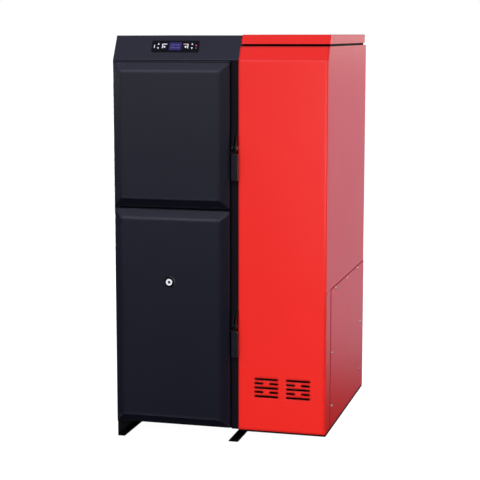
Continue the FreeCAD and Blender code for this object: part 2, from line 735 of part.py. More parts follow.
def latch_bracket(z):
    """A base plate with two cheeks, round at the pivot and tapering to the top."""
    base = box(STRIP_X + LEVER_PLAY, BOILER_WIDTH - LEVER_PLAY, -LATCH_BASE, 0,
               z - LATCH_CHEEK_RADIUS, z + LATCH_CHEEK_RISE)
    inner = LEVER_THICKNESS / 2 + LEVER_PLAY
    cheeks = []
    for x in (LATCH_X - inner - LATCH_CHEEK, LATCH_X + inner):
        end = rod_x(LATCH_CHEEK_RADIUS, x, x + LATCH_CHEEK, -LATCH_STANDOFF, z)
        front = -LATCH_STANDOFF - LATCH_CHEEK_RADIUS
        arm = side_prism([(-LATCH_STANDOFF, z - LATCH_CHEEK_RADIUS), (0, z - LATCH_CHEEK_RADIUS),
                          (0, z + LATCH_CHEEK_RISE), (-LATCH_CHEEK_TIP, z + LATCH_CHEEK_RISE), (front, z)],
                         x, x + LATCH_CHEEK)
        cheeks += [end, arm]
    bore = rod_x(LATCH_BOLT_RADIUS, STRIP_X, BOILER_WIDTH, -LATCH_STANDOFF, z)
    return joined(base, *cheeks).cut(bore)


def latch_bolt(z):
    """The pivot bolt across the cheeks, with a round head at each end."""
    reach = LEVER_THICKNESS / 2 + LEVER_PLAY + LATCH_CHEEK
    shank = rod_x(LATCH_BOLT_RADIUS, LATCH_X - reach, LATCH_X + reach, -LATCH_STANDOFF, z)
    heads = [rod_x(LATCH_BOLT_HEAD_RADIUS, x, x + LATCH_BOLT_HEAD, -LATCH_STANDOFF, z)
             for x in (LATCH_X - reach - LATCH_BOLT_HEAD, LATCH_X + reach)]
    return joined(shank, *heads)


def latch_bar(width, depth, z0, z1):
    """An upright block on the latches' middle line."""
    y = -LATCH_STANDOFF
    return box(LATCH_X - width / 2, LATCH_X + width / 2, y - depth / 2, y + depth / 2, z0, z1)


def latch_lever(z):
    """A flat bar that hangs from the bolt, with a finger beside the door's edge."""
    x0 = LATCH_X - LEVER_THICKNESS / 2
    x1 = LATCH_X + LEVER_THICKNESS / 2
    y0 = -LATCH_STANDOFF - LEVER_WIDTH / 2
    y1 = -LATCH_STANDOFF + LEVER_WIDTH / 2
    end = rod_x(LEVER_EYE_RADIUS, x0, x1, -LATCH_STANDOFF, z)
    bar = box(x0, x1, y0, y1, z - GRIP_START - GRIP_LENGTH + GRIP_END, z)
    finger_top = z - LATCH_CHEEK_RADIUS - LEVER_PLAY
    finger = box(STRIP_X - DOOR_STRIP_GAP / 2, x1, y0, y1, finger_top - LEVER_FINGER, finger_top)
    bore = rod_x(LATCH_BOLT_RADIUS + HINGE_PLAY, x0 - CUT, x1 + CUT, -LATCH_STANDOFF, z)
    return joined(end, bar, finger).cut(bore)


def latch_grip(z):
    """A moulded grip pushed over the bar, with a broad shoulder at its outer top corner."""
    top = z - GRIP_START
    foot = top - GRIP_LENGTH
    block = latch_bar(GRIP_WIDTH, GRIP_DEPTH, foot, top)
    block = rounded(block, GRIP_SHOULDER, lambda b: b.XMin > LATCH_X and b.ZMin > top - CUT)
    block = rounded(block, GRIP_CORNER,
                    lambda b: b.YLength > CUT and (b.XMax < LATCH_X or b.ZMax < foot + CUT))
    block = rounded(block, GRIP_ROUND, lambda b: b.YLength < CUT)
    return block.cut(latch_bar(LEVER_THICKNESS, LEVER_WIDTH, foot + GRIP_END, top + CUT))


# Boiler vessel


def chute_bar(radius):
    """A round bar down the fuel chute, from the fuel screw into the firebox."""
    return Part.makeCylinder(radius, CHUTE_LENGTH, CHUTE_TOP, CHUTE_DROP)


def pipe_places():
    """Supply, return and drain, seen from the front as x and z."""
    left = VESSEL_LEFT + PIPE_INSET
    right = VESSEL_RIGHT - PIPE_INSET
    return (left, SUPPLY_HEIGHT), (left, RETURN_HEIGHT), (right, DRAIN_HEIGHT)


def igniter_bar(radius, start, end):
    return rod_y(radius, start, end, POT_CENTRE_X, IGNITER_Z)


def smoke_outlet(radius):
    """A round bar from the smoke chamber's back wall into the fan."""
    return rod_y(radius, BOX_REAR - CUT, JACKET_REAR + FACE_GAP, VESSEL_MIDDLE, FAN_HEIGHT)


def water_jacket():
    """The outer wall of the water space, closed at the front by the front plate."""
    outer = box(VESSEL_LEFT, VESSEL_RIGHT, JACKET_FRONT, JACKET_REAR, FLOOR_TOP, VESSEL_TOP)
    wall = JACKET_SHEET
    inner = box(VESSEL_LEFT + wall, VESSEL_RIGHT - wall, 0, JACKET_REAR - wall,
                FLOOR_TOP + wall, VESSEL_TOP - wall)
    holes = [rod_y(PIPE_RADIUS - PIPE_STEP + TUBE_PLAY, 0, DEPTH, x, z) for x, z in pipe_places()]
    holes.append(igniter_bar(IGNITER_RADIUS + SLEEVE_WALL + TUBE_PLAY, 0, DEPTH))
    holes.append(smoke_outlet(FAN_INLET_RADIUS + TUBE_PLAY))
    holes.append(chute_bar(CHUTE_RADIUS + CHUTE_PLAY))
    return outer.cut(inner).cut(Part.makeCompound(holes))


def front_plate():
    """The thick plate that the doors close on, with both mouths."""
    plate = box(VESSEL_LEFT, VESSEL_RIGHT, VESSEL_FRONT, JACKET_FRONT, FLOOR_TOP, VESSEL_TOP)
    for low, high in MOUTHS.values():
        plate = plate.cut(box(BOX_LEFT, BOX_RIGHT, 0, DEPTH, low, high))
    return plate


def fire_tube_places():
    """Fire tube middles, as x and y."""
    middle_y = (JACKET_FRONT + BOX_REAR) / 2
    places = []
    for row in range(TUBE_ROWS):
        for column in range(TUBE_COLUMNS):
            x = VESSEL_MIDDLE + (column - (TUBE_COLUMNS - 1) / 2) * TUBE_PITCH_X
            y = middle_y + (row - (TUBE_ROWS - 1) / 2) * TUBE_PITCH_Y
            places.append((x, y))
    return places


def open_box(low, high):
    """A welded box, open at the front."""
    wall = FIREBOX_SHEET
    outer = box(BOX_LEFT - wall, BOX_RIGHT + wall, JACKET_FRONT, BOX_REAR + wall, low - wall, high + wall)
    return outer.cut(box(BOX_LEFT, BOX_RIGHT, 0, BOX_REAR, low, high))


def tube_holes(z):
    top = z + FIREBOX_SHEET + CUT
    holes = [rod_z(TUBE_RADIUS + TUBE_PLAY, z - CUT, top, x, y) for x, y in fire_tube_places()]
    return Part.makeCompound(holes)


def firebox_shell():
    """The fire's chamber, with a sleeve for the igniter, holes for the fire tubes and the chute."""
    shell = open_box(*MOUTHS["lower"])
    sleeve = igniter_bar(IGNITER_RADIUS + SLEEVE_WALL, BOX_REAR + FIREBOX_SHEET, JACKET_REAR)
    bore = igniter_bar(IGNITER_RADIUS + IGNITER_PLAY, BOX_REAR - CUT, DEPTH)
    shell = joined(shell, sleeve).cut(bore).cut(tube_holes(FIREBOX_TOP))
    return shell.cut(chute_bar(CHUTE_RADIUS + CHUTE_PLAY))


def smoke_chamber_shell():
    """The upper chamber, with the fire tubes' ends in its floor and the smoke outlet at its back."""
    shell = open_box(*MOUTHS["upper"])
    outlet = rod_y(FAN_INLET_RADIUS, BOX_REAR + FIREBOX_SHEET, JACKET_REAR, VESSEL_MIDDLE, FAN_HEIGHT)
    bore = smoke_outlet(FAN_INLET_RADIUS - JACKET_SHEET)
    return joined(shell, outlet).cut(bore).cut(tube_holes(CHAMBER_FLOOR - FIREBOX_SHEET))


def fire_tubes():
    """Upright tubes from the firebox's roof to the smoke chamber's floor."""
    tubes = []
    for x, y in fire_tube_places():
        outer = rod_z(TUBE_RADIUS, FIREBOX_TOP, CHAMBER_FLOOR, x, y)
        bore = rod_z(TUBE_RADIUS - TUBE_WALL, FIREBOX_TOP - CUT, CHAMBER_FLOOR + CUT, x, y)
        tubes.append(outer.cut(bore))
    return tubes


def turbulators():
    """Twisted strips that hang in the fire tubes from bars on the smoke chamber's floor."""
    half_width = TURBULATOR_WIDTH / 2
    half_sheet = TURBULATOR_SHEET / 2
    end = level_corners(-half_width, half_width, -half_sheet, half_sheet, 0)
    steps = round(TURBULATOR_TURNS * TURBULATOR_STEPS)
    length = CHAMBER_FLOOR + TURBULATOR_BAR_RADIUS - FIREBOX_TOP
    outlines = []
    for step in range(steps + 1):
        turn = FreeCAD.Rotation(V(0, 0, 1), 360.0 * step / TURBULATOR_STEPS)
        outlines.append([turn.multVec(corner) + V(0, 0, length * step / steps) for corner in end])
    half_bar = TURBULATOR_BAR_LENGTH / 2
    bar = rod_x(TURBULATOR_BAR_RADIUS, -half_bar, half_bar, 0, length)
    strip = skin(outlines).fuse(bar)
    return [strip.translated(V(x, y, FIREBOX_TOP)) for x, y in fire_tube_places()]


def insulation_slabs():
    """Wool boards at both sides of the vessel and on its top."""
    gap = INSULATION_PLAY
    front = JACKET_FRONT
    left = box(SHEET + gap, VESSEL_LEFT - gap, front, JACKET_REAR, FLOOR_TOP, VESSEL_TOP)
    right = box(VESSEL_RIGHT + gap, BOILER_WIDTH - SHEET - gap, front, JACKET_REAR, FLOOR_TOP, VESSEL_TOP)
    top = box(SHEET + gap, BOILER_WIDTH - SHEET - gap, front, JACKET_REAR,
              VESSEL_TOP, VESSEL_TOP + INSULATION)
    return [left, right.cut(chute_bar(CHUTE_RADIUS + CHUTE_PLAY)), top]


# Burner and ash


def burner_bench():
    """A folded stand over the ash pan, with a hole under the pot for ash to fall through."""
    x0 = BOX_LEFT + ASH_PAN_PLAY
    x1 = BOX_RIGHT - ASH_PAN_PLAY
    y0 = VESSEL_FRONT + BENCH_SETBACK
    y1 = y0 + BENCH_DEPTH
    outer = box(x0, x1, y0, y1, FIREBOX_FLOOR, BENCH_TOP)
    hollow = box(x0 + BENCH_SHEET, x1 - BENCH_SHEET, 0, DEPTH, 0, BENCH_TOP - BENCH_SHEET)
    half = POT_LENGTH / 2 - POT_TAPER - POT_WALL
    hole = box(POT_CENTRE_X - half, POT_CENTRE_X + half, POT_CENTRE_Y - half, POT_CENTRE_Y + half, 0, HEIGHT)
    return outer.cut(hollow).cut(hole)


def pot_square(half, z):
    x = POT_CENTRE_X
    y = POT_CENTRE_Y
    return level_corners(x - half, x + half, y - half, y + half, z)


def burner_pot():
    """A cast bowl, wider at the top, with rows of air holes in its floor."""
    top = BENCH_TOP + POT_HEIGHT
    foot = pot_square(POT_LENGTH / 2 - POT_TAPER, BENCH_TOP)
    outer = skin([foot, pot_square(POT_LENGTH / 2, top)])
    half = POT_LENGTH / 2 - POT_WALL
    slope = POT_TAPER / POT_HEIGHT
    floor = BENCH_TOP + POT_WALL
    inner_foot = pot_square(half - POT_TAPER + slope * POT_WALL, floor)
    inner = skin([inner_foot, pot_square(half + slope * CUT, top + CUT)])
    pitch = 2 * (half - POT_TAPER) / POT_HOLES
    holes = []
    for row in range(POT_HOLES):
        for column in range(POT_HOLES):
            x = POT_CENTRE_X + (column - (POT_HOLES - 1) / 2) * pitch
            y = POT_CENTRE_Y + (row - (POT_HOLES - 1) / 2) * pitch
            holes.append(rod_z(POT_HOLE_RADIUS, BENCH_TOP - CUT, floor + CUT, x, y))
    return outer.cut(inner).cut(Part.makeCompound(holes))


def igniter():
    """A ceramic rod in its sleeve, from the back of the vessel to the pot's back wall."""
    pot_back = POT_CENTRE_Y + POT_LENGTH / 2 + FACE_GAP
    rod = igniter_bar(IGNITER_RADIUS, pot_back, JACKET_REAR)
    head = igniter_bar(IGNITER_RADIUS + SLEEVE_WALL, JACKET_REAR, JACKET_REAR + 2 * IGNITER_RADIUS)
    return joined(rod, head)


def ash_pan():
    """A folded pan with a bail at its front, standing on the firebox floor below the pot."""
    x0 = BOX_LEFT + 2 * ASH_PAN_PLAY + BENCH_SHEET
    x1 = BOX_RIGHT - 2 * ASH_PAN_PLAY - BENCH_SHEET
    y0 = VESSEL_FRONT + BENCH_SETBACK
    y1 = y0 + BENCH_DEPTH
    wall = ASH_PAN_SHEET
    top = FIREBOX_FLOOR + ASH_PAN_HEIGHT
    tray = box(x0, x1, y0, y1, FIREBOX_FLOOR, top)
    tray = tray.cut(box(x0 + wall, x1 - wall, y0 + wall, y1 - wall, FIREBOX_FLOOR + wall, top + CUT))
    middle = (x0 + x1) / 2
    half = ASH_PAN_HANDLE_SPAN / 2
    z = FIREBOX_FLOOR + ASH_PAN_HEIGHT / 2
    reach = y0 - ASH_PAN_HANDLE_REACH
    radius = ASH_PAN_HANDLE_RADIUS
    arms = [rod_y(radius, reach, y0, x, z) for x in (middle - half, middle + half)]
    bail = rod_x(radius, middle - half, middle + half, reach, z)
    ends = [Part.makeSphere(radius, V(x, reach, z)) for x in (middle - half, middle + half)]
    return joined(tray, *arms, bail, *ends)


# Smoke fan and connections


def fan_front():
    return JACKET_REAR + FACE_GAP


def fan_rear():
    return fan_front() + FAN_DEPTH


def flue_x():
    return VESSEL_MIDDLE + FAN_RADIUS - FAN_DUCT_WIDTH / 2


def flue_z():
    return FAN_HEIGHT - FAN_DUCT_DROP + FLUE_FLANGE_RADIUS + FAN_SHEET


def fan_block(inset):
    """The fan's drum with its outlet duct down one side, set in by a wall."""
    y0 = fan_front() + inset
    y1 = fan_rear() - inset
    right = VESSEL_MIDDLE + FAN_RADIUS
    drum = rod_y(FAN_RADIUS - inset, y0, y1, VESSEL_MIDDLE, FAN_HEIGHT)
    foot = FAN_HEIGHT - FAN_DUCT_DROP + inset
    duct = box(right - FAN_DUCT_WIDTH + inset, right - inset, y0, y1, foot, FAN_HEIGHT)
    return drum.fuse(duct)


def fan_housing():
    """A sheet scroll: smoke enters at the middle of its front and leaves by the flue collar."""
    shell = fan_block(0).removeSplitter().cut(fan_block(FAN_SHEET))
    front = fan_front()
    rear = fan_rear()
    inlet_radius = FAN_INLET_RADIUS - JACKET_SHEET
    inlet = rod_y(inlet_radius, front - CUT, front + FAN_SHEET + CUT, VESSEL_MIDDLE, FAN_HEIGHT)
    back = rear - FAN_SHEET - CUT
    shaft = rod_y(SHAFT_RADIUS + FACE_GAP, back, rear + CUT, VESSEL_MIDDLE, FAN_HEIGHT)
    outlet = rod_y(FLUE_RADIUS - 2 * FLUE_WALL, back, rear + CUT, flue_x(), flue_z())
    return shell.cut(inlet).cut(shaft).cut(outlet)


def fan_impeller():
    """A back disc with straight blades, on the shaft that enters the motor."""
    rear = fan_rear() - FAN_SHEET - (FAN_DEPTH - 2 * FAN_SHEET - IMPELLER_DEPTH) / 2
    front = rear - IMPELLER_DEPTH
    disc = rod_y(IMPELLER_RADIUS, rear - IMPELLER_SHEET, rear, VESSEL_MIDDLE, FAN_HEIGHT)
    hub = rod_y(IMPELLER_HUB_RADIUS, front, rear, VESSEL_MIDDLE, FAN_HEIGHT)
    shaft = rod_y(SHAFT_RADIUS, rear, fan_rear() + SHAFT_ENTRY, VESSEL_MIDDLE, FAN_HEIGHT)
    blades = []
    for index in range(IMPELLER_BLADES):
        blade = box(VESSEL_MIDDLE + SHAFT_RADIUS, VESSEL_MIDDLE + IMPELLER_RADIUS, front, rear,
                    FAN_HEIGHT - IMPELLER_SHEET / 2, FAN_HEIGHT + IMPELLER_SHEET / 2)
        blade.rotate(V(VESSEL_MIDDLE, 0, FAN_HEIGHT), V(0, 1, 0), 360.0 * index / IMPELLER_BLADES)
        blades.append(blade)
    return joined(disc, hub, shaft, *blades)


def fan_motor():
    """The motor on the back of the scroll, bored for the impeller's shaft."""
    body = rod_y(FAN_MOTOR_RADIUS, fan_rear(), fan_rear() + FAN_MOTOR_LENGTH, VESSEL_MIDDLE, FAN_HEIGHT)
    ends = [edge for edge in body.Edges if edge.BoundBox.YMin > fan_rear() + FAN_MOTOR_LENGTH / 2]
    body = body.makeChamfer(MOTOR_CHAMFER, ends)
    end = fan_rear() + SHAFT_ENTRY + MOTOR_BORE_ROOM
    bore = rod_y(SHAFT_RADIUS + SHAFT_PLAY, fan_rear() - CUT, end, VESSEL_MIDDLE, FAN_HEIGHT)
    return body.cut(bore)


def flue_collar():
    """The spigot for the flue pipe, with a flange on the scroll."""
    start = fan_rear()
    step = DEPTH + SPIGOT_STEP
    end = DEPTH + REAR_REACH
    flange = rod_y(FLUE_FLANGE_RADIUS, start, start + FLUE_FLANGE, flue_x(), flue_z())
    duct = rod_y(FLUE_RADIUS - FLUE_WALL, start, end, flue_x(), flue_z())
    spigot = rod_y(FLUE_RADIUS, step, end, flue_x(), flue_z())
    bore = rod_y(FLUE_RADIUS - 2 * FLUE_WALL, start - CUT, end + CUT, flue_x(), flue_z())
    return joined(flange, duct, spigot).cut(bore)


def water_stubs():
    """Supply, return and drain pipes from the water space out through the back."""
    start = JACKET_REAR - JACKET_SHEET - PIPE_ENTRY
    step = DEPTH + SPIGOT_STEP
    end = DEPTH + PIPE_REACH
    stubs = []
    for x, z in pipe_places():
        pipe = rod_y(PIPE_RADIUS - PIPE_STEP, start, end, x, z)
        spigot = rod_y(PIPE_RADIUS, step, end, x, z)
        bore = rod_y(PIPE_RADIUS - PIPE_WALL, start - CUT, end + CUT, x, z)
        stubs.append(joined(pipe, spigot).cut(bore))
    return stubs


# Hopper


def hopper_front_panel():
    """One folded sheet: front with vents, slope above, and a return round the right corner below."""
    sheet = folded_sheet([
        V(BOILER_WIDTH, 0, BASE_HEIGHT),
        V(BOILER_WIDTH, 0, FOLD_Z),
        V(BOILER_WIDTH, slope_y(RIM_TOP), RIM_TOP),
    ], WIDTH - SHEET - BOILER_WIDTH)
    above = box(0, WIDTH, -DEPTH, DEPTH, RIM_TOP, HEIGHT)
    corner = box(WIDTH - SHEET, WIDTH, 0, COVER_FRONT, BASE_HEIGHT, COVER_TOP)
    tongue_rear = COVER_FRONT + COVER_FRONT_SCREW_INSET + COVER_TONGUE
    tongue = box(WIDTH - 2 * SHEET, WIDTH - SHEET, SHEET, tongue_rear, BASE_HEIGHT, COVER_TOP - COVER_FLANGE)
    panel = joined(sheet.cut(above), corner, tongue)
    return panel.cut(vents()).cut(screw_holes())


def vents():
    """Air slots in two groups. Every second row is parted by a bridge."""
    slots = []
    for left in VENT_GROUPS:
        for row in range(VENT_ROWS):
            z = VENT_LOWEST + row * VENT_PITCH
            if row % 2:
                short = (VENT_LENGTH - VENT_BRIDGE) / 2
                spans = ((left, left + short), (left + short + VENT_BRIDGE, left + VENT_LENGTH))
            else:
                spans = ((left, left + VENT_LENGTH),)
            for x0, x1 in spans:
                slot = box(x0, x1, -CUT, SHEET + CUT, z - VENT_HEIGHT / 2, z + VENT_HEIGHT / 2)
                slots.append(rounded(slot, VENT_CORNER, lambda b: b.YLength > CUT))
    return Part.makeCompound(slots)


def screw_places():
    """Service cover screws, as y and z."""
    places = [(y, COVER_TOP - COVER_TOP_SCREW_INSET) for y in COVER_TOP_SCREWS]
    for z in COVER_SIDE_SCREWS:
        places.append((COVER_FRONT + COVER_FRONT_SCREW_INSET, z))
        places.append((DEPTH - COVER_REAR_SCREW_INSET, z))
    return places


def screw_holes():
    radius = SCREW_RADIUS + SCREW_PLAY
    holes = [rod_x(radius, WIDTH - 3 * SHEET, COVER_FACE + CUT, y, z) for y, z in screw_places()]
    return Part.makeCompound(holes)


def service_cover_screws():
    """Round headed screws through the cover into the tongues behind it."""
    screws = []
    for y, z in screw_places():
        shank = rod_x(SCREW_RADIUS, WIDTH - 2 * SHEET, COVER_FACE, y, z)
        rim = rod_x(SCREW_HEAD_RADIUS, COVER_FACE, COVER_FACE + SCREW_HEAD / 2, y, z)
        crown = Part.makeCone(SCREW_HEAD_RADIUS, SCREW_CROWN_RADIUS, SCREW_HEAD / 2,
                              V(COVER_FACE + SCREW_HEAD / 2, y, z), V(1, 0, 0))
        screws.append(joined(shank, rim, crown))
    return screws


def hopper_side_panel():
    """The upper right side, with a tongue behind the service cover's top edge."""
    outline = [(0, COVER_TOP), (0, FOLD_Z), (slope_y(RIM_TOP), RIM_TOP), (DEPTH, RIM_TOP), (DEPTH, COVER_TOP)]
    panel = slope_rounded(side_prism(outline, WIDTH - SHEET, WIDTH))
    tongue = box(WIDTH - 2 * SHEET, WIDTH - SHEET, 2 * SHEET, DEPTH - 2 * SHEET,
                 COVER_TOP - COVER_FLANGE, COVER_TOP + COVER_FLANGE)
    return joined(panel, tongue).cut(screw_holes())


def service_cover():
    """The lower cover on the right side, of stouter plate that stands a little proud."""
    cover = box(WIDTH - SHEET, COVER_FACE, COVER_FRONT + COVER_GAP, DEPTH, BASE_HEIGHT + COVER_BOTTOM_GAP,
                COVER_TOP - COVER_GAP)
    return cover.cut(screw_holes())


def tank_corners(inset, z):
    """The corners of the tank at its outlet, or above its knee, set in by a wall."""
    if z < TANK_KNEE:
        half = TANK_OUTLET_WIDTH / 2 - inset
        reach = TANK_OUTLET_LENGTH / 2 - inset
        return level_corners(AUGER_X - half, AUGER_X + half, TANK_OUTLET_Y - reach, TANK_OUTLET_Y + reach, z)
    x0 = BOILER_WIDTH + TANK_MARGIN + inset
    x1 = WIDTH - TANK_MARGIN - inset
    y0 = slope_y(RIM_TOP) + TANK_MARGIN + inset
    y1 = LID_REAR - TANK_MARGIN - inset
    return level_corners(x0, x1, y0, y1, z)


def mitred_plates(outer, inner):
    """Four plates round a hollow, mitred at the corners: outer and inner corners at two or more heights."""
    plates = []
    for i in range(4):
        j = (i + 1) % 4
        plates.append(skin([[o[i], o[j], n[j], n[i]] for o, n in zip(outer, inner)]))
    return plates


def hopper_tank():
    """The fuel tank, welded from flat sheet: a rim on the casing, straight walls, a funnel and an outlet."""
    heights = (INLET_TOP, TANK_FOOT, TANK_KNEE, RIM_TOP)
    outer = [tank_corners(0, z) for z in heights]
    inner = [tank_corners(SHEET, z) for z in heights]
    plates = []
    for low in range(3):
        plates += mitred_plates(outer[low:low + 2], inner[low:low + 2])
    front = slope_y(RIM_TOP) + 2 * SHEET
    faces = (RIM_TOP - SHEET, RIM_TOP)
    rim = [level_corners(BOILER_WIDTH, WIDTH - SHEET, front, DEPTH - SHEET, z) for z in faces]
    mouth = [tank_corners(0, z) for z in faces]
    return mitred_plates(rim, mouth) + plates


def lid_outline():
    """The lid's side outline: its front edge lies in the slope."""
    front = [(slope_y(LID_BOTTOM), LID_BOTTOM), (slope_y(HEIGHT), HEIGHT)]
    return front + [(LID_REAR, HEIGHT), (LID_REAR, LID_BOTTOM)]


def lid_hinge_places():
    middle = (LID_LEFT + WIDTH) / 2
    return middle - LID_HINGE_SPACING / 2, middle + LID_HINGE_SPACING / 2


def hopper_lid():
    """A folded lid with an inward return at its foot, and a knuckle at each hinge."""
    outer = side_prism(lid_outline(), LID_LEFT, WIDTH)
    outer = rounded(outer, LID_RADIUS, lambda b: b.ZMax > HEIGHT - 1 and (b.ZLength < 1 or b.YLength > 1))
    inner_side = side_face(lid_outline(), LID_LEFT + SHEET).makeOffset2D(-SHEET, 2)
    inner = inner_side.extrude(V(WIDTH - LID_LEFT - 2 * SHEET, 0, 0))
    mouth = box(LID_LEFT + LID_RETURN, WIDTH - LID_RETURN, slope_y(HEIGHT) + LID_RETURN,
                LID_REAR - LID_RETURN, LID_BOTTOM - CUT, LID_BOTTOM + 2 * SHEET)
    lid = outer.cut(inner).cut(mouth)
    half = LID_KNUCKLE_LENGTH / 2 - LID_KNUCKLE_PLAY
    knuckles = []
    bores = []
    for x in lid_hinge_places():
        low = LID_AXIS_Z - LID_LEAF / 2
        leaf = box(x - half, x + half, LID_REAR, LID_AXIS_Y, low, low + LID_LEAF)
        knuckles += [leaf, rod_x(LID_KNUCKLE_RADIUS, x - half, x + half, LID_AXIS_Y, LID_AXIS_Z)]
        radius = LID_PIN_RADIUS + HINGE_PLAY
        bores.append(rod_x(radius, x - half - CUT, x + half + CUT, LID_AXIS_Y, LID_AXIS_Z))
    return joined(lid, *knuckles).cut(Part.makeCompound(bores))


def lid_hinge_posts():
    """Two posts behind the lid, each with a pin across its fork."""
    posts = []
    half = LID_HINGE_LENGTH / 2
    for x in lid_hinge_places():
        y1 = LID_AXIS_Y + LID_KNUCKLE_RADIUS
        post = box(x - half, x + half, y1 - LID_LEAF, y1, RIM_TOP, LID_AXIS_Z)
        foot = box(x - half, x + half, LID_AXIS_Y - LID_KNUCKLE_RADIUS, y1, RIM_TOP, RIM_TOP + LID_LEAF)
        barrel = rod_x(LID_KNUCKLE_RADIUS, x - half, x + half, LID_AXIS_Y, LID_AXIS_Z)
        fork = LID_KNUCKLE_LENGTH / 2
        reach = LID_KNUCKLE_RADIUS + CUT
        slot = box(x - fork, x + fork, LID_AXIS_Y - reach, LID_AXIS_Y + reach,
                   LID_AXIS_Z - reach, LID_AXIS_Z + reach)
        pin = rod_x(LID_PIN_RADIUS, x - half, x + half, LID_AXIS_Y, LID_AXIS_Z)
        posts.append(joined(joined(post, foot, barrel).cut(slot), pin))
    return posts


def lid_seal():
    """A rubber strip round the rim, under the lid's return."""
    y0 = slope_y(HEIGHT) + SHEET
    x0 = LID_LEFT + 2 * SHEET
    x1 = WIDTH - 2 * SHEET
    y1 = LID_REAR - 2 * SHEET
    top = LID_BOTTOM - FACE_GAP
    outer = box(x0, x1, y0, y1, RIM_TOP, top)
    inner = box(x0 + SEAL_WIDTH, x1 - SEAL_WIDTH, y0 + SEAL_WIDTH, y1 - SEAL_WIDTH, 0, HEIGHT)
    return outer.cut(inner)


# Fuel screw


def along_auger(radius, start, end):
    """A round bar on the fuel screw's line, measured from its lower end."""
    bar = Part.makeCylinder(radius, end - start, V(0, 0, start))
    bar.Placement = AUGER_FRAME
    return bar


def inlet_block(inset, overlap):
    """The fuel inlet between the tank's foot and the screw's tube."""
    half = TANK_OUTLET_WIDTH / 2 - inset
    reach = TANK_OUTLET_LENGTH / 2 - inset
    middle = TANK_OUTLET_Y
    axis_z = AUGER_LOW_Z + TANK_OUTLET_LENGTH * math.tan(AUGER_SLOPE)
    return box(AUGER_X - half, AUGER_X + half, middle - reach, middle + reach, axis_z, INLET_TOP + overlap)


def auger_tube():
    """The screw's tube, with its fuel inlet on top and the chute that drops fuel into the firebox."""
    chute = chute_bar(CHUTE_RADIUS)
    outer = along_auger(AUGER_RADIUS, 0, AUGER_LENGTH).multiFuse([inlet_block(0, 0), chute])
    hollow = along_auger(AUGER_RADIUS - AUGER_WALL, AUGER_END, AUGER_LENGTH - AUGER_END)
    chute_hollow = chute_bar(CHUTE_RADIUS - CHUTE_WALL).fuse(chute_mouth())
    hollow = hollow.multiFuse([inlet_block(AUGER_WALL, CUT), chute_hollow])
    shaft = along_auger(SCREW_SHAFT_RADIUS + HINGE_PLAY, -CUT, AUGER_END + CUT)
    return outer.removeSplitter().cut(hollow).cut(shaft)


def chute_mouth():
    """What is cut off the chute's lower end, so that it is open."""
    end = CHUTE_TOP + CHUTE_DROP * (CHUTE_LENGTH - CUT)
    return Part.makeCylinder(CHUTE_RADIUS - CHUTE_WALL, CHUTE_WALL, end, CHUTE_DROP)


def auger_screw():
    """A shaft with one helical flight, and a tail in the gearbox."""
    start = AUGER_END + SCREW_PITCH / 4
    end = AUGER_LENGTH - CHUTE_BACK
    root = SCREW_SHAFT_RADIUS - SCREW_FLIGHT / 3
    steps = round((end - start) / SCREW_PITCH * FLIGHT_STEPS)
    edge = SCREW_FLIGHT_RADIUS
    section = [V(root, 0, 0), V(edge, 0, 0), V(edge, 0, SCREW_FLIGHT), V(root, 0, SCREW_FLIGHT)]
    outlines = []
    for step in range(steps + 1):
        turn = FreeCAD.Rotation(V(0, 0, 1), 360.0 * step / FLIGHT_STEPS)
        rise = V(0, 0, start + SCREW_PITCH * step / FLIGHT_STEPS)
        outlines.append([turn.multVec(corner) + rise for corner in section])
    flight = skin(outlines)
    shaft = Part.makeCylinder(SCREW_SHAFT_RADIUS, AUGER_LENGTH - 2 * AUGER_END + GEARBOX_LENGTH / 2,
                              V(0, 0, -GEARBOX_LENGTH / 2))
    screw = shaft.fuse(flight)
    screw.Placement = AUGER_FRAME
    return screw


def auger_gearmotor():
    """A gearbox on the tube's lower end, bored for the screw's tail, with its motor below."""
    half = GEARBOX_SIZE / 2
    gearbox = box(-half, half, -half, half, -GEARBOX_LENGTH, 0)
    gearbox = rounded(gearbox, MOTOR_CHAMFER, lambda b: b.ZLength > GEARBOX_LENGTH / 2)
    motor_low = V(0, 0, -GEARBOX_LENGTH - GEAR_MOTOR_LENGTH)
    motor = Part.makeCylinder(GEAR_MOTOR_RADIUS, GEAR_MOTOR_LENGTH, motor_low)
    depth = GEARBOX_LENGTH * 3 / 4
    bore = Part.makeCylinder(SCREW_SHAFT_RADIUS + HINGE_PLAY, depth, V(0, 0, -depth))
    unit = joined(gearbox, motor).cut(bore)
    unit.Placement = AUGER_FRAME
    return unit


# Key panel, in its own frame: x across from its middle, y up the slope, z out of it


def pad_block(x, y, width, height, z0, z1, corner):
    """A block with round corners on the slope, before it is placed."""
    block = box(x - width / 2, x + width / 2, y - height / 2, y + height / 2, z0, z1)
    return rounded(block, corner, lambda b: b.ZLength > b.XLength + b.YLength)


def key_places():
    """Each key's name, middle and side."""
    places = {}
    for side, sign in (("left", -1), ("right", 1)):
        places[side + "_main_key"] = (sign * BIG_KEY_OFFSET, KEYPAD_RISE, BIG_KEY)
        places[side + "_up_key"] = (sign * SMALL_KEY_OFFSET, KEYPAD_RISE + SMALL_KEY_RISE, SMALL_KEY)
        places[side + "_down_key"] = (sign * SMALL_KEY_OFFSET, KEYPAD_RISE - SMALL_KEY_RISE, SMALL_KEY)
    return places


def on_slope(shape):
    shape.Placement = SLOPE_FRAME
    return shape


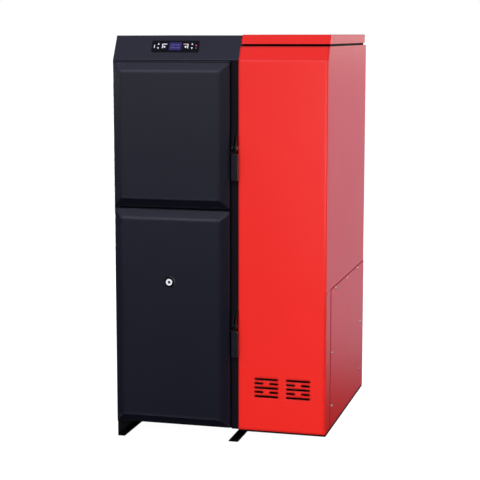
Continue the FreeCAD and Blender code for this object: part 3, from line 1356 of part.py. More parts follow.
def keypad_panel():
    """A bezel on the slope, with its electronics box behind, and wells for the keys and the display."""
    bezel = pad_block(0, KEYPAD_RISE, KEYPAD_WIDTH, KEYPAD_HEIGHT, 0, KEYPAD_BEZEL, KEYPAD_CORNER)
    case = box(-KEYPAD_BOX_WIDTH / 2, KEYPAD_BOX_WIDTH / 2, KEYPAD_RISE - KEYPAD_BOX_HEIGHT / 2,
               KEYPAD_RISE + KEYPAD_BOX_HEIGHT / 2, -KEYPAD_BOX_DEPTH, 0)
    wells = []
    depth = KEY_DEPTH + KEY_TRAVEL
    for x, y, size in key_places().values():
        side = size + 2 * KEY_PLAY
        wells.append(pad_block(x, y, side, side, KEYPAD_BEZEL - depth, KEYPAD_BEZEL + CUT,
                               KEY_CORNER + KEY_PLAY))
    wells.append(pad_block(0, KEYPAD_RISE, DISPLAY_WIDTH, DISPLAY_HEIGHT, KEYPAD_BEZEL - DISPLAY_THICKNESS,
                           KEYPAD_BEZEL + CUT, KEY_CORNER))
    return on_slope(joined(bezel, case).cut(Part.makeCompound(wells)))


def display_window():
    """The display's window, flush in the bezel."""
    return on_slope(pad_block(0, KEYPAD_RISE, DISPLAY_WIDTH - KEY_PLAY, DISPLAY_HEIGHT - KEY_PLAY,
                              KEYPAD_BEZEL - DISPLAY_THICKNESS, KEYPAD_BEZEL, KEY_CORNER))


def key(x, y, size):
    """A key cap with a soft edge, standing proud of the bezel."""
    cap = pad_block(x, y, size, size, KEYPAD_BEZEL - KEY_DEPTH, KEYPAD_BEZEL + KEY_PROUD, KEY_CORNER)
    cap = rounded(cap, KEY_PROUD / 2, lambda b: b.ZMin > KEYPAD_BEZEL)
    return on_slope(cap)


def mains_inlet():
    """A flanged inlet with three blades in its well."""
    rear = DEPTH + INLET_FLANGE
    body = box(INLET_X - INLET_BODY_WIDTH / 2, INLET_X + INLET_BODY_WIDTH / 2, DEPTH - INLET_DEPTH, rear,
               INLET_Z - INLET_BODY_HEIGHT / 2, INLET_Z + INLET_BODY_HEIGHT / 2)
    flange = box(INLET_X - INLET_WIDTH / 2, INLET_X + INLET_WIDTH / 2, DEPTH, rear,
                 INLET_Z - INLET_HEIGHT / 2, INLET_Z + INLET_HEIGHT / 2)
    wall = INLET_FLANGE
    half_width = INLET_BODY_WIDTH / 2 - wall
    half_height = INLET_BODY_HEIGHT / 2 - wall
    floor = rear - INLET_CAVITY
    well = box(INLET_X - half_width, INLET_X + half_width, floor, rear + CUT,
               INLET_Z - half_height, INLET_Z + half_height)
    half = INLET_PIN_WIDTH / 2
    blades = [box(INLET_X + shift - half, INLET_X + shift + half, floor - CUT, rear - INLET_FLANGE,
                  INLET_Z - INLET_PIN_HEIGHT / 2, INLET_Z + INLET_PIN_HEIGHT / 2)
              for shift in (-INLET_PIN_SPACING, 0, INLET_PIN_SPACING)]
    return joined(joined(body, flange).cut(well), *blades)


# The assembly


def door_nodes(name):
    """A door's own pieces. The lower door is bored for the sight hole."""
    span = DOOR_SPANS[name]
    mouth = MOUTHS[name]
    pieces = {
        name + "_door_shell": door_shell(span),
        name + "_door_plate": door_plate(span, mouth),
        name + "_door_pad": door_pad(mouth),
    }
    if name == "lower":
        pieces = {node: piece.cut(sight_hole()) for node, piece in pieces.items()}
    pieces[name + "_door_seal"] = door_seal(mouth)
    return pieces


def assembly():
    """Every node's solids by name."""
    nodes = {
        "base_frame": base_frame(),
        "casing_floor": casing_floor(),
        "left_side_panel": left_side_panel(),
        "partition_panel": partition_panel(),
        "control_fascia": control_fascia(),
        "front_frame": front_frame(),
        "door_hinge_pins": door_hinge_pins(),
        "rear_panel": rear_panel(),
        "water_jacket": water_jacket(),
        "boiler_front_plate": front_plate(),
        "firebox_shell": firebox_shell(),
        "smoke_chamber_shell": smoke_chamber_shell(),
        "fire_tubes": fire_tubes(),
        "turbulators": turbulators(),
        "insulation_slabs": insulation_slabs(),
        "burner_bench": burner_bench(),
        "burner_pot": burner_pot(),
        "igniter": igniter(),
        "ash_pan": ash_pan(),
        "fan_housing": fan_housing(),
        "fan_impeller": fan_impeller(),
        "fan_motor": fan_motor(),
        "flue_collar": flue_collar(),
        "water_stubs": water_stubs(),
        "hopper_front_panel": hopper_front_panel(),
        "hopper_side_panel": hopper_side_panel(),
        "service_cover": service_cover(),
        "service_cover_screws": service_cover_screws(),
        "hopper_tank": hopper_tank(),
        "hopper_lid": hopper_lid(),
        "lid_hinge_posts": lid_hinge_posts(),
        "lid_seal": lid_seal(),
        "auger_tube": auger_tube(),
        "auger_screw": auger_screw(),
        "auger_gearmotor": auger_gearmotor(),
        "keypad_panel": keypad_panel(),
        "display_window": display_window(),
        "mains_inlet": mains_inlet(),
        "sight_glass_bezel": sight_bezel(),
        "sight_glass": sight_glass(),
        "latch_brackets": [latch_bracket(z) for z in LATCH_HEIGHTS.values()],
        "latch_pivot_bolts": [latch_bolt(z) for z in LATCH_HEIGHTS.values()],
    }
    for name in DOOR_SPANS:
        nodes.update(door_nodes(name))
    for name, z in LATCH_HEIGHTS.items():
        nodes[name + "_latch_lever"] = latch_lever(z)
        nodes[name + "_latch_grip"] = latch_grip(z)
    for name, place in key_places().items():
        nodes[name] = key(*place)
    return nodes


def main():
    os.makedirs("parts", exist_ok=True)
    for name, piece in assembly().items():
        shape = Part.makeCompound(piece) if isinstance(piece, list) else piece
        shape.translate(-ORIGIN)
        shape.exportStep("parts/" + name + ".step")
        print(name, len(shape.Solids), shape.isValid(), round(shape.Volume))


if __name__ == "__main__":
    main()
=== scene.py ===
"""Pellet boiler with a side hopper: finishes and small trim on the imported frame. Metres."""
import json
import math
import bmesh
import bpy
from mathutils import Euler, Matrix, Vector, noise

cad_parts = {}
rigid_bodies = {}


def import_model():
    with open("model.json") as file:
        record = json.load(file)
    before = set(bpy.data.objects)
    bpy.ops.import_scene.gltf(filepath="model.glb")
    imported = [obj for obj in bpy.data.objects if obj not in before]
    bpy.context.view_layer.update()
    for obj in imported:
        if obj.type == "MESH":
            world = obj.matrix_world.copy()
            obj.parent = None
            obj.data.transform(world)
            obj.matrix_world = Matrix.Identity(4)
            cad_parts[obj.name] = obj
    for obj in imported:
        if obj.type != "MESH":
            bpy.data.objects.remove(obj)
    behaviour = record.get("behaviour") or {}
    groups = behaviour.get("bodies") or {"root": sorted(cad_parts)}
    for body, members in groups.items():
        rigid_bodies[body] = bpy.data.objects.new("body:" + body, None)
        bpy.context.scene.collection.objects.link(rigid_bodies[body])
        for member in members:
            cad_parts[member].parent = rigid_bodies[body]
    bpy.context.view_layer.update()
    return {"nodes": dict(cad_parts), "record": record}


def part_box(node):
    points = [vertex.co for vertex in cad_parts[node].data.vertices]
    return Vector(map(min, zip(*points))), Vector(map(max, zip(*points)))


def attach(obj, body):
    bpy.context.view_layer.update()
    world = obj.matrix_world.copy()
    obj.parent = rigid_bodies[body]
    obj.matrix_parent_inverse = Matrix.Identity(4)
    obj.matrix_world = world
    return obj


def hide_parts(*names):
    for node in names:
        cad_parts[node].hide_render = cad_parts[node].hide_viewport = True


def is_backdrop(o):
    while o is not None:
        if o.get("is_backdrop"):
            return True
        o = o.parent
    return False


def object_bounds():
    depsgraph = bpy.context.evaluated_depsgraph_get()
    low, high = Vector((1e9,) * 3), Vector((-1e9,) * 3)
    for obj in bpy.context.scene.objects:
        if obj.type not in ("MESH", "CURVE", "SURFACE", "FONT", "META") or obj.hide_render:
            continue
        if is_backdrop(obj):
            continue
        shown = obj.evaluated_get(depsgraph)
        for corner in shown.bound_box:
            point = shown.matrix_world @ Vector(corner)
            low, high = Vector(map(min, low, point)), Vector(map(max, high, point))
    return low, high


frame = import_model()
nodes = frame["nodes"]
scene = bpy.context.scene

# Directions
ACROSS = Vector((1, 0, 0))
BACK = Vector((0, 1, 0))
UP = Vector((0, 0, 1))

# The fascia's slope, sized as in the solids
SLOPE_RISE = 0.083
SLOPE_RUN = 0.046
SLOPE_LENGTH = math.hypot(SLOPE_RISE, SLOPE_RUN)
UP_SLOPE = Vector((0, SLOPE_RUN, SLOPE_RISE)) / SLOPE_LENGTH
OUT_OF_SLOPE = Vector((0, -SLOPE_RISE, SLOPE_RUN)) / SLOPE_LENGTH


# Shader building

def new_material(name):
    """A new material: returns it, its tree, its shader and object coordinates."""
    made = bpy.data.materials.new(name)
    made.use_nodes = True
    tree = made.node_tree
    shader = tree.nodes["Principled BSDF"]
    place = tree.nodes.new("ShaderNodeTexCoord").outputs["Object"]
    return made, tree, shader, place


def add(tree, kind, **values):
    """A node with its properties and sockets set by name."""
    node = tree.nodes.new(kind)
    for name, value in values.items():
        if name in node.inputs:
            node.inputs[name].default_value = value
        else:
            setattr(node, name, value)
    return node


def feed(shader, socket, value):
    """Links a value into one of the shader's sockets."""
    shader.id_data.links.new(value, shader.inputs[socket])


def noise_of(tree, place, scale, detail=3.0, rough=0.5, stretch=None):
    """Noise at a number of cells in a metre, drawn out along an axis if asked."""
    if stretch:
        mapping = add(tree, "ShaderNodeMapping")
        mapping.inputs["Scale"].default_value = stretch
        tree.links.new(place, mapping.inputs["Vector"])
        place = mapping.outputs["Vector"]
    node = add(tree, "ShaderNodeTexNoise", Scale=scale, Detail=detail, Roughness=rough)
    tree.links.new(place, node.inputs["Vector"])
    return node.outputs["Fac"]


def cells_of(tree, place, scale):
    """Random grey in each cell, as on zinc spangle or pressed flakes."""
    node = add(tree, "ShaderNodeTexVoronoi", Scale=scale)
    tree.links.new(place, node.inputs["Vector"])
    grey = add(tree, "ShaderNodeRGBToBW")
    tree.links.new(node.outputs["Color"], grey.inputs["Color"])
    return grey.outputs["Val"]


def spread(tree, value, low, high, start=0.3, end=0.7):
    """A value spread between two limits."""
    node = add(tree, "ShaderNodeMapRange")
    node.inputs["From Min"].default_value = start
    node.inputs["From Max"].default_value = end
    node.inputs["To Min"].default_value = low
    node.inputs["To Max"].default_value = high
    tree.links.new(value, node.inputs["Value"])
    return node.outputs["Result"]


def mixed(tree, value, low, high, start=0.3, end=0.7):
    """A colour between two, by a value."""
    ramp = add(tree, "ShaderNodeValToRGB")
    ramp.color_ramp.elements[0].position = start
    ramp.color_ramp.elements[0].color = (*low, 1)
    ramp.color_ramp.elements[1].position = end
    ramp.color_ramp.elements[1].color = (*high, 1)
    tree.links.new(value, ramp.inputs["Fac"])
    return ramp.outputs["Color"]


def dimmed(tint, share):
    """A colour at a share of its brightness."""
    return tuple(c * share for c in tint)


def bump(tree, shader, height, depth):
    """A height map in metres on the shader's normal, over any that it has."""
    node = add(tree, "ShaderNodeBump", Strength=1.0, Distance=depth)
    tree.links.new(height, node.inputs["Height"])
    old = shader.inputs["Normal"]
    if old.is_linked:
        tree.links.new(old.links[0].from_socket, node.inputs["Normal"])
    tree.links.new(node.outputs["Normal"], old)


PAINT_CLOUDS = 5.0
GLOSS_CLOUDS = 3.0
GLOSS_SPREAD = 0.02
BEND_SAMPLES = 6


def powder_coat(name, dark, light, rough, grain, depth, level, bend=0.0):
    """Baked paint with a fine orange peel, a little uneven in colour and gloss, its bends shaded round."""
    made, tree, shader, place = new_material(name)
    clouds = noise_of(tree, place, scale=PAINT_CLOUDS, detail=2.0)
    feed(shader, "Base Color", mixed(tree, clouds, dark, light, start=0.0, end=1.0))
    peel = noise_of(tree, place, scale=grain, detail=2.0)
    gloss = noise_of(tree, place, scale=GLOSS_CLOUDS, detail=1.0)
    uneven = spread(tree, gloss, rough - GLOSS_SPREAD, rough + GLOSS_SPREAD, start=0.0, end=1.0)
    feed(shader, "Roughness", uneven)
    if bend:
        rounded = add(tree, "ShaderNodeBevel", Radius=bend, samples=BEND_SAMPLES)
        feed(shader, "Normal", rounded.outputs["Normal"])
    bump(tree, shader, peel, depth)
    shader.inputs["Specular IOR Level"].default_value = level
    return made


def sheet_zinc(name, dark, light):
    """Galvanised sheet with its spangle."""
    made, tree, shader, place = new_material(name)
    flakes = cells_of(tree, place, scale=95.0)
    feed(shader, "Base Color", mixed(tree, flakes, dark, light, start=0.2, end=0.8))
    feed(shader, "Roughness", spread(tree, flakes, low=0.32, high=0.52, start=0.1, end=0.9))
    bump(tree, shader, noise_of(tree, place, scale=700.0), depth=0.00004)
    shader.inputs["Metallic"].default_value = 0.9
    return made


def plate_steel(name, dark, light, metallic, rough):
    """Rolled plate with scale and heat stains."""
    made, tree, shader, place = new_material(name)
    stains = noise_of(tree, place, scale=14.0, detail=8.0, rough=0.62)
    mill_scale = noise_of(tree, place, scale=45.0, detail=6.0)
    feed(shader, "Base Color", mixed(tree, stains, dark, light, start=0.36, end=0.66))
    feed(shader, "Roughness", spread(tree, mill_scale, low=rough - 0.1, high=rough + 0.12))
    bump(tree, shader, noise_of(tree, place, scale=260.0, detail=5.0), depth=0.00012)
    shader.inputs["Metallic"].default_value = metallic
    return made


def turned_metal(name, tint, rough, stretch, metallic=1.0):
    """Plated or turned steel with fine lines along its work."""
    made, tree, shader, place = new_material(name)
    lines = noise_of(tree, place, scale=900.0, rough=0.6, stretch=stretch)
    feed(shader, "Base Color", mixed(tree, lines, dimmed(tint, share=0.82), tint))
    feed(shader, "Roughness", spread(tree, lines, low=rough * 0.7, high=rough * 1.3))
    bump(tree, shader, lines, depth=0.00001)
    shader.inputs["Metallic"].default_value = metallic
    return made


def casting(name, dark, light, metallic, rough, depth):
    """A sand casting: coarse grain over pits."""
    made, tree, shader, place = new_material(name)
    patches = noise_of(tree, place, scale=60.0, detail=6.0)
    feed(shader, "Base Color", mixed(tree, patches, dark, light))
    gloss = noise_of(tree, place, scale=220.0)
    feed(shader, "Roughness", spread(tree, gloss, low=rough - 0.1, high=rough + 0.1))
    bump(tree, shader, noise_of(tree, place, scale=480.0, detail=6.0, rough=0.65), depth)
    shader.inputs["Metallic"].default_value = metallic
    return made


def moulding(name, dark, light, rough, grain, depth, level=0.5):
    """Moulded plastic or rubber with a light grain."""
    made, tree, shader, place = new_material(name)
    feed(shader, "Base Color", mixed(tree, noise_of(tree, place, scale=40.0), dark, light))
    gloss = noise_of(tree, place, scale=160.0)
    feed(shader, "Roughness", spread(tree, gloss, low=rough - 0.06, high=rough + 0.06))
    bump(tree, shader, noise_of(tree, place, scale=grain, detail=2.0), depth)
    shader.inputs["Specular IOR Level"].default_value = level
    return made


def flake_board(name, dark, light):
    """Pressed vermiculite: flakes of several browns, with pits."""
    made, tree, shader, place = new_material(name)
    flakes = cells_of(tree, place, scale=330.0)
    feed(shader, "Base Color", mixed(tree, flakes, dark, light, start=0.15, end=0.85))
    shader.inputs["Roughness"].default_value = 0.9
    bump(tree, shader, flakes, depth=0.0004)
    return made


def fibre(name, dark, light, scale, stretch, depth):
    """Loose or spun fibre."""
    made, tree, shader, place = new_material(name)
    strands = noise_of(tree, place, scale=scale, detail=6.0, rough=0.7, stretch=stretch)
    feed(shader, "Base Color", mixed(tree, strands, dark, light))
    shader.inputs["Roughness"].default_value = 0.95
    shader.inputs["Sheen Weight"].default_value = 0.3
    bump(tree, shader, strands, depth)
    return made


def clear_glass(name, tint):
    """Heat glass with faint smoke on it."""
    made, tree, shader, place = new_material(name)
    smoke = noise_of(tree, place, scale=120.0, detail=4.0)
    feed(shader, "Base Color", mixed(tree, smoke, dimmed(tint, share=0.7), tint))
    feed(shader, "Roughness", spread(tree, smoke, low=0.03, high=0.12))
    shader.inputs["Transmission Weight"].default_value = 0.9
    shader.inputs["IOR"].default_value = 1.47
    return made


def lit_screen(name, dark, light, glow):
    """A lit display, a little uneven, under a clear window."""
    made, tree, shader, place = new_material(name)
    broad = noise_of(tree, place, scale=60.0, detail=2.0)
    colour = mixed(tree, broad, dark, light)
    feed(shader, "Base Color", colour)
    feed(shader, "Emission Color", colour)
    shader.inputs["Emission Strength"].default_value = glow
    feed(shader, "Roughness", spread(tree, broad, low=0.08, high=0.18))
    return made


def printed(name, tint, glow=0.0):
    """Screen print or a small lamp."""
    made, tree, shader, place = new_material(name)
    ink = mixed(tree, noise_of(tree, place, scale=900.0), dimmed(tint, share=0.9), tint)
    feed(shader, "Base Color", ink)
    shader.inputs["Roughness"].default_value = 0.5
    if glow:
        feed(shader, "Emission Color", ink)
        shader.inputs["Emission Strength"].default_value = glow
    return made


# Finishes by the record's slots, and those of single nodes and trim

ANTHRACITE = dict(dark=(0.0178, 0.0183, 0.0300), light=(0.0218, 0.0223, 0.0365), rough=0.25, grain=1300.0,
                  depth=0.00003, level=0.7)
RED = dict(dark=(0.82, 0.019, 0.013), light=(0.86, 0.022, 0.015), rough=0.24, grain=12.0,
           depth=0.000010, level=0.4)
DOOR_BEND = 0.012
PANEL_BEND = 0.010
FINISHES = {
    "anthracite_paint": powder_coat("anthracite_paint", **ANTHRACITE),
    "black_paint": powder_coat("black_paint", (0.0105, 0.0095, 0.0125), (0.0145, 0.0135, 0.0165), rough=0.5,
                               grain=1300.0, depth=0.00003, level=0.15),
    "red_paint": powder_coat("red_paint", **RED),
    "galvanised_sheet": sheet_zinc("galvanised_sheet", (0.40, 0.42, 0.44), (0.62, 0.64, 0.66)),
    "boiler_steel": plate_steel("boiler_steel", (0.030, 0.026, 0.024), (0.11, 0.098, 0.090), metallic=0.75,
                                rough=0.5),
    "cast_iron": casting("cast_iron", (0.020, 0.018, 0.018), (0.055, 0.050, 0.048), metallic=0.6, rough=0.65,
                         depth=0.00035),
    "ceramic": casting("ceramic", (0.62, 0.59, 0.52), (0.76, 0.74, 0.68), metallic=0.0, rough=0.6,
                       depth=0.00008),
    "fireboard": flake_board("fireboard", (0.36, 0.27, 0.15), (0.68, 0.57, 0.38)),
    "glass_rope": fibre("glass_rope", (0.50, 0.48, 0.42), (0.78, 0.76, 0.70), scale=520.0, stretch=(1, 1, 1),
                        depth=0.0004),
    "mineral_wool": fibre("mineral_wool", (0.40, 0.33, 0.15), (0.66, 0.58, 0.32), scale=130.0,
                          stretch=(1, 1, 0.25), depth=0.002),
    "seal_rubber": moulding("seal_rubber", (0.005, 0.005, 0.005), (0.010, 0.010, 0.010), rough=0.7,
                            grain=900.0, depth=0.00005, level=0.12),
    "black_plastic": moulding("black_plastic", (0.017, 0.018, 0.022), (0.022, 0.023, 0.028), rough=0.42,
                              grain=1100.0, depth=0.00005, level=0.3),
    "key_plastic": moulding("key_plastic", (0.005, 0.005, 0.008), (0.009, 0.009, 0.013), rough=0.35,
                            grain=1400.0, depth=0.00003, level=0.15),
    "display_glass": lit_screen("display_glass", (0.016, 0.013, 0.085), (0.025, 0.021, 0.115), glow=0.10),
    "zinc_steel": turned_metal("zinc_steel", (0.70, 0.71, 0.73), rough=0.28, stretch=(1, 1, 0.1)),
    "bezel_chrome": turned_metal("bezel_chrome", (0.97, 0.97, 0.97), rough=0.30, stretch=(1, 0.15, 1),
                                 metallic=0.2),
    "heat_glass": clear_glass("heat_glass", (0.55, 0.58, 0.58)),
    "motor_paint": casting("motor_paint", (0.12, 0.125, 0.135), (0.19, 0.195, 0.205), metallic=0.8,
                           rough=0.45, depth=0.0001),
}
WHITE_INK = printed("white_ink", (0.90, 0.90, 0.94))
PINK_INK = printed("pink_ink", (0.80, 0.42, 0.42))
SCREEN_INK = printed("screen_ink", (0.070, 0.064, 0.22), glow=0.2)
RED_LAMP = printed("red_lamp", (0.80, 0.12, 0.22), glow=0.6)
GREY_LAMP = printed("grey_lamp", (0.30, 0.34, 0.34))
PANEL_FOIL = moulding("panel_foil", (0.003, 0.003, 0.005), (0.005, 0.005, 0.008), rough=0.35, grain=1400.0,
                      depth=0.00003, level=0.12)
# Painted shade: a dark red that stands in for the shade in the service cover's gap
COVER_GAP_SHADE = moulding("cover_gap_shade", (0.13, 0.002, 0.006), (0.17, 0.003, 0.009), rough=0.7, grain=900.0,
                        depth=0.00003, level=0.1)
# Painted shade: a near black that stands in for the shade in the screws' drives and in the sight hole's bore
SHADOW = moulding("drive_shadow", (0.012, 0.012, 0.012), (0.020, 0.020, 0.020), rough=0.6, grain=900.0,
                  depth=0.00003)
BENT_DOOR = powder_coat("bent_door_paint", **ANTHRACITE, bend=DOOR_BEND)
BENT_PANEL = powder_coat("bent_panel_paint", **RED, bend=PANEL_BEND)
NODE_FINISHES = {
    "keypad_panel": PANEL_FOIL,
    # The hinge pins take the black paint in place of their zinc: painted shade in the gap between the doors.
    # The front frame takes it in place of its anthracite, darker than the doors beside it.
    "door_hinge_pins": FINISHES["black_paint"],
    "front_frame": FINISHES["black_paint"],
    "upper_door_shell": BENT_DOOR,
    "lower_door_shell": BENT_DOOR,
    "hopper_front_panel": BENT_PANEL,
}
for entry in frame["record"]["subparts"]:
    mesh = nodes[entry["node"]].data
    mesh.materials.clear()
    mesh.materials.append(NODE_FINISHES.get(entry["node"], FINISHES[entry["material_slot"]]))


# Building pieces

# The share of a flat shape's thickness that its softened edge takes
SOFT_EDGE = 0.4


def piece(name, bm, material, body):
    """Makes an object from a bmesh in the part's frame, riding on a body."""
    mesh = bpy.data.meshes.new(name)
    bmesh.ops.recalc_face_normals(bm, faces=bm.faces)
    bm.to_mesh(mesh)
    bm.free()
    mesh.materials.append(material)
    made = bpy.data.objects.new(name, mesh)
    scene.collection.objects.link(made)
    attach(made, body)
    return made


def smooth(made):
    """Shades an object's faces smooth."""
    made.data.polygons.foreach_set("use_smooth", [True] * len(made.data.polygons))


def prism(bm, outline, thickness, place):
    """Adds a flat shape with softened top edges: outline of x and y, standing along the place's z."""
    edge = thickness * SOFT_EDGE
    middle = sum((Vector(p) for p in outline), Vector((0, 0))) / len(outline)
    rings = []
    for height, shrink in ((0.0, 0.0), (thickness - edge, 0.0), (thickness, edge)):
        ring = []
        for point in outline:
            toward = middle - Vector(point)
            moved = Vector(point) + toward.normalized() * min(shrink, toward.length / 2)
            ring.append(bm.verts.new(place @ Vector((moved.x, moved.y, height))))
        rings.append(ring)
    count = len(outline)
    for low, high in zip(rings, rings[1:]):
        for i in range(count):
            bm.faces.new((low[i], low[(i + 1) % count], high[(i + 1) % count], high[i]))
    bm.faces.new(rings[-1])
    bm.faces.new(list(reversed(rings[0])))


def bar(x0, x1, y0, y1):
    """The outline of a rectangle."""
    return [(x0, y0), (x1, y0), (x1, y1), (x0, y1)]


def disc(x, y, radius, sides=20):
    """The outline of a circle."""
    turn = 2 * math.pi / sides
    return [(x + radius * math.cos(i * turn), y + radius * math.sin(i * turn)) for i in range(sides)]


def dome(bm, radius, height, place, sides=24, rings=5):
    """Adds a low dome standing on the place's z."""
    rows = []
    for row in range(rings):
        angle = math.pi / 2 * row / rings
        z = height * math.sin(angle)
        ring = disc(0, 0, radius * math.cos(angle), sides)
        rows.append([bm.verts.new(place @ Vector((x, y, z))) for x, y in ring])
    top = bm.verts.new(place @ Vector((0, 0, height)))
    for low, high in zip(rows, rows[1:]):
        for i in range(sides):
            bm.faces.new((low[i], low[(i + 1) % sides], high[(i + 1) % sides], high[i]))
    for i in range(sides):
        bm.faces.new((rows[-1][i], rows[-1][(i + 1) % sides], top))
    bm.faces.new(list(reversed(rows[0])))


def turned_ring(bm, profile, place, sides=48):
    """Adds a closed profile of radius and height, turned about the place's z."""
    rows = []
    for i in range(sides):
        a = 2 * math.pi * i / sides
        rows.append([bm.verts.new(place @ Vector((r * math.cos(a), r * math.sin(a), z))) for r, z in profile])
    for low, high in zip(rows, rows[1:] + rows[:1]):
        for i in range(len(profile)):
            j = (i + 1) % len(profile)
            bm.faces.new((low[i], low[j], high[j], high[i]))


def facing(origin, across, up):
    """A place whose x runs across, y runs up and z stands out."""
    out = across.cross(up)
    return Matrix((
        (across.x, up.x, out.x, origin.x),
        (across.y, up.y, out.y, origin.y),
        (across.z, up.z, out.z, origin.z),
        (0, 0, 0, 1),
    ))


def middle_of(node):
    """The middle of a node's box."""
    low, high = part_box(node)
    return (low + high) / 2


# Marks on the key panel, drawn from the display's middle in the slope's plane

MARK = 0.00012
KEY_PROUD = 0.0012
WINDOW_HALF = 0.0008
MARK_REACH = 0.0086
MARK_INNER = 0.0056
UPRIGHT_HALF = 0.0085
BAR_END = 0.0054
DOT_DROP = 0.0028
DOT_RADIUS = 0.0036
ARROW_HALF = 0.0034
ARROW_BASE = 0.0030
ARROW_TIP = 0.0038
screen = middle_of("display_window") + OUT_OF_SLOPE * WINDOW_HALF


def on_panel(x, y, rise):
    """A place on the key panel, a given height off its face."""
    origin = screen + ACROSS * x + UP_SLOPE * y + OUT_OF_SLOPE * rise
    return facing(origin, ACROSS, UP_SLOPE)


def key_top(key):
    """A place on top of a key."""
    offset = middle_of(key) - screen
    return on_panel(offset.dot(ACROSS), offset.dot(UP_SLOPE), KEY_PROUD)


for side, sign in (("left", -1), ("right", 1)):
    key = side + "_main_key"
    bm = bmesh.new()
    prism(bm, disc(0, -DOT_DROP, DOT_RADIUS), MARK, key_top(key))
    upright = sorted((sign * MARK_REACH, sign * MARK_INNER))
    prism(bm, bar(*upright, -UPRIGHT_HALF, UPRIGHT_HALF), MARK, key_top(key))
    piece(key + "_mark", bm, WHITE_INK, key + "_cap")
    bm = bmesh.new()
    over = sorted((-sign * MARK_REACH, sign * BAR_END))
    prism(bm, bar(*over, MARK_INNER, MARK_REACH), MARK, key_top(key))
    piece(key + "_bar", bm, PINK_INK if side == "right" else WHITE_INK, key + "_cap")
    for name, tip in (("up", 1), ("down", -1)):
        key = side + "_" + name + "_key"
        base = -tip * ARROW_BASE
        arrow = [(-ARROW_HALF, base), (ARROW_HALF, base), (0, tip * ARROW_TIP)]
        bm = bmesh.new()
        prism(bm, arrow[::tip], MARK, key_top(key))
        piece(key + "_mark", bm, WHITE_INK, key + "_cap")

DASH = bar(x0=-0.0748, x1=-0.0718, y0=-0.0070, y1=0.0050)
bm = bmesh.new()
prism(bm, DASH, MARK, on_panel(0, 0, 0))
piece("panel_dash", bm, WHITE_INK, "boiler")

LAMP_X = 0.0735
for name, ink, y, radius, height in (("alarm_lamp", RED_LAMP, 0.003, 0.0022, 0.0012),
                                     ("run_lamp", GREY_LAMP, -0.007, 0.0016, 0.0009)):
    bm = bmesh.new()
    dome(bm, radius, height, on_panel(LAMP_X, y, 0))
    piece(name, bm, ink, "boiler")

# Two rows of blocks on the lit display, by the row's height, its count and a block's width
BLOCK_ROWS = ((0.0055, 9, 0.0026), (-0.0050, 6, 0.0038))
BLOCK_PITCH = 1.45
BLOCK_TALL = 0.0052
BLOCK_SHORT = 0.0026
SHORT_EVERY = 4
bm = bmesh.new()
for row, (y, count, width) in enumerate(BLOCK_ROWS):
    foot = y - BLOCK_TALL / 2
    for i in range(count):
        x = (i - (count - 1) / 2) * width * BLOCK_PITCH
        height = BLOCK_TALL if (i + row) % SHORT_EVERY else BLOCK_SHORT
        prism(bm, bar(x - width / 2, x + width / 2, foot, foot + height), MARK / 2, on_panel(0, 0, 0))
piece("display_blocks", bm, SCREEN_INK, "boiler")

# A strip under the fascia that closes the gap over the upper door
HEAD_STRIP_CLEAR = 0.001
HEAD_STRIP_PROUD = 0.0115
door_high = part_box("upper_door_shell")[1]
head_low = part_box("control_fascia")[0]
head_place = facing(Vector((0, door_high.y, 0)), ACROSS, UP)
bm = bmesh.new()
prism(bm, bar(head_low.x + HEAD_STRIP_CLEAR, door_high.x, door_high.z + HEAD_STRIP_CLEAR, head_low.z),
      HEAD_STRIP_PROUD, head_place)
piece("head_strip", bm, FINISHES["anthracite_paint"], "boiler")


# Trim round the sight hole, and painted shade in its bore

SIGHT_STEP = 0.0035
SIGHT_BORE = 0.0045
SIGHT_DEPTH = 0.0190
# The rubber lies on the ring's flange, up its side and over its chamfer
GASKET = (
    (0.0115, 0.0035), (0.0115, 0.0038), (0.0128, 0.0039), (0.0149, 0.0018), (0.0151, 0.0008),
    (0.0182, 0.0006), (0.0186, 0.0003), (0.0186, 0.0), (0.01455, 0.0), (0.01455, 0.00155),
    (0.01255, 0.00355),
)
# A dark sleeve lines the bore from just inside its rim: painted shade in the bore
BORE_SHADE_CLEAR = 0.00005
BORE_SHADE_THICK = 0.00035
BORE_SHADE_SET_BACK = 0.0003
BORE_SHADE_TAPER = 0.0002
shade_outer = SIGHT_BORE - BORE_SHADE_CLEAR
shade_inner = shade_outer - BORE_SHADE_THICK
shade_rim = SIGHT_STEP - BORE_SHADE_SET_BACK
BORE_SHADE = (
    (shade_outer, shade_rim), (shade_outer, -SIGHT_DEPTH),
    (shade_inner, -SIGHT_DEPTH), (shade_inner, shade_rim - BORE_SHADE_TAPER),
)
sight_low, sight_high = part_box("sight_glass_bezel")
sight = Vector(((sight_low.x + sight_high.x) / 2, sight_low.y, (sight_low.z + sight_high.z) / 2))
sight_face = facing(sight + BACK * SIGHT_STEP, ACROSS, UP)
# The gasket is rubber; the sleeve is painted shade, in the shade material
for name, profile, finish, slot in (("sight_gasket", GASKET, FINISHES["seal_rubber"], "seal_rubber"),
                                    ("sight_soot", BORE_SHADE, SHADOW, "bezel_chrome")):
    bm = bmesh.new()
    turned_ring(bm, profile, sight_face)
    piece(name, bm, finish, "lower_door")


# Painted shade of the drives in the cover's screw heads: dark crosses on the heads

COVER_DRIVE_REACH = 0.0021
COVER_DRIVE_RISE = 0.00004
DRIVE_HALF = 0.0005
WELD = 1e-6


def cross(a, b):
    """The outline of a cross with blunt arms: a is their reach and b half their width."""
    return [(-b, -a), (b, -a), (b, -b), (a, -b), (a, b), (b, b),
            (b, a), (-b, a), (-b, b), (-a, b), (-a, -b), (-b, -b)]


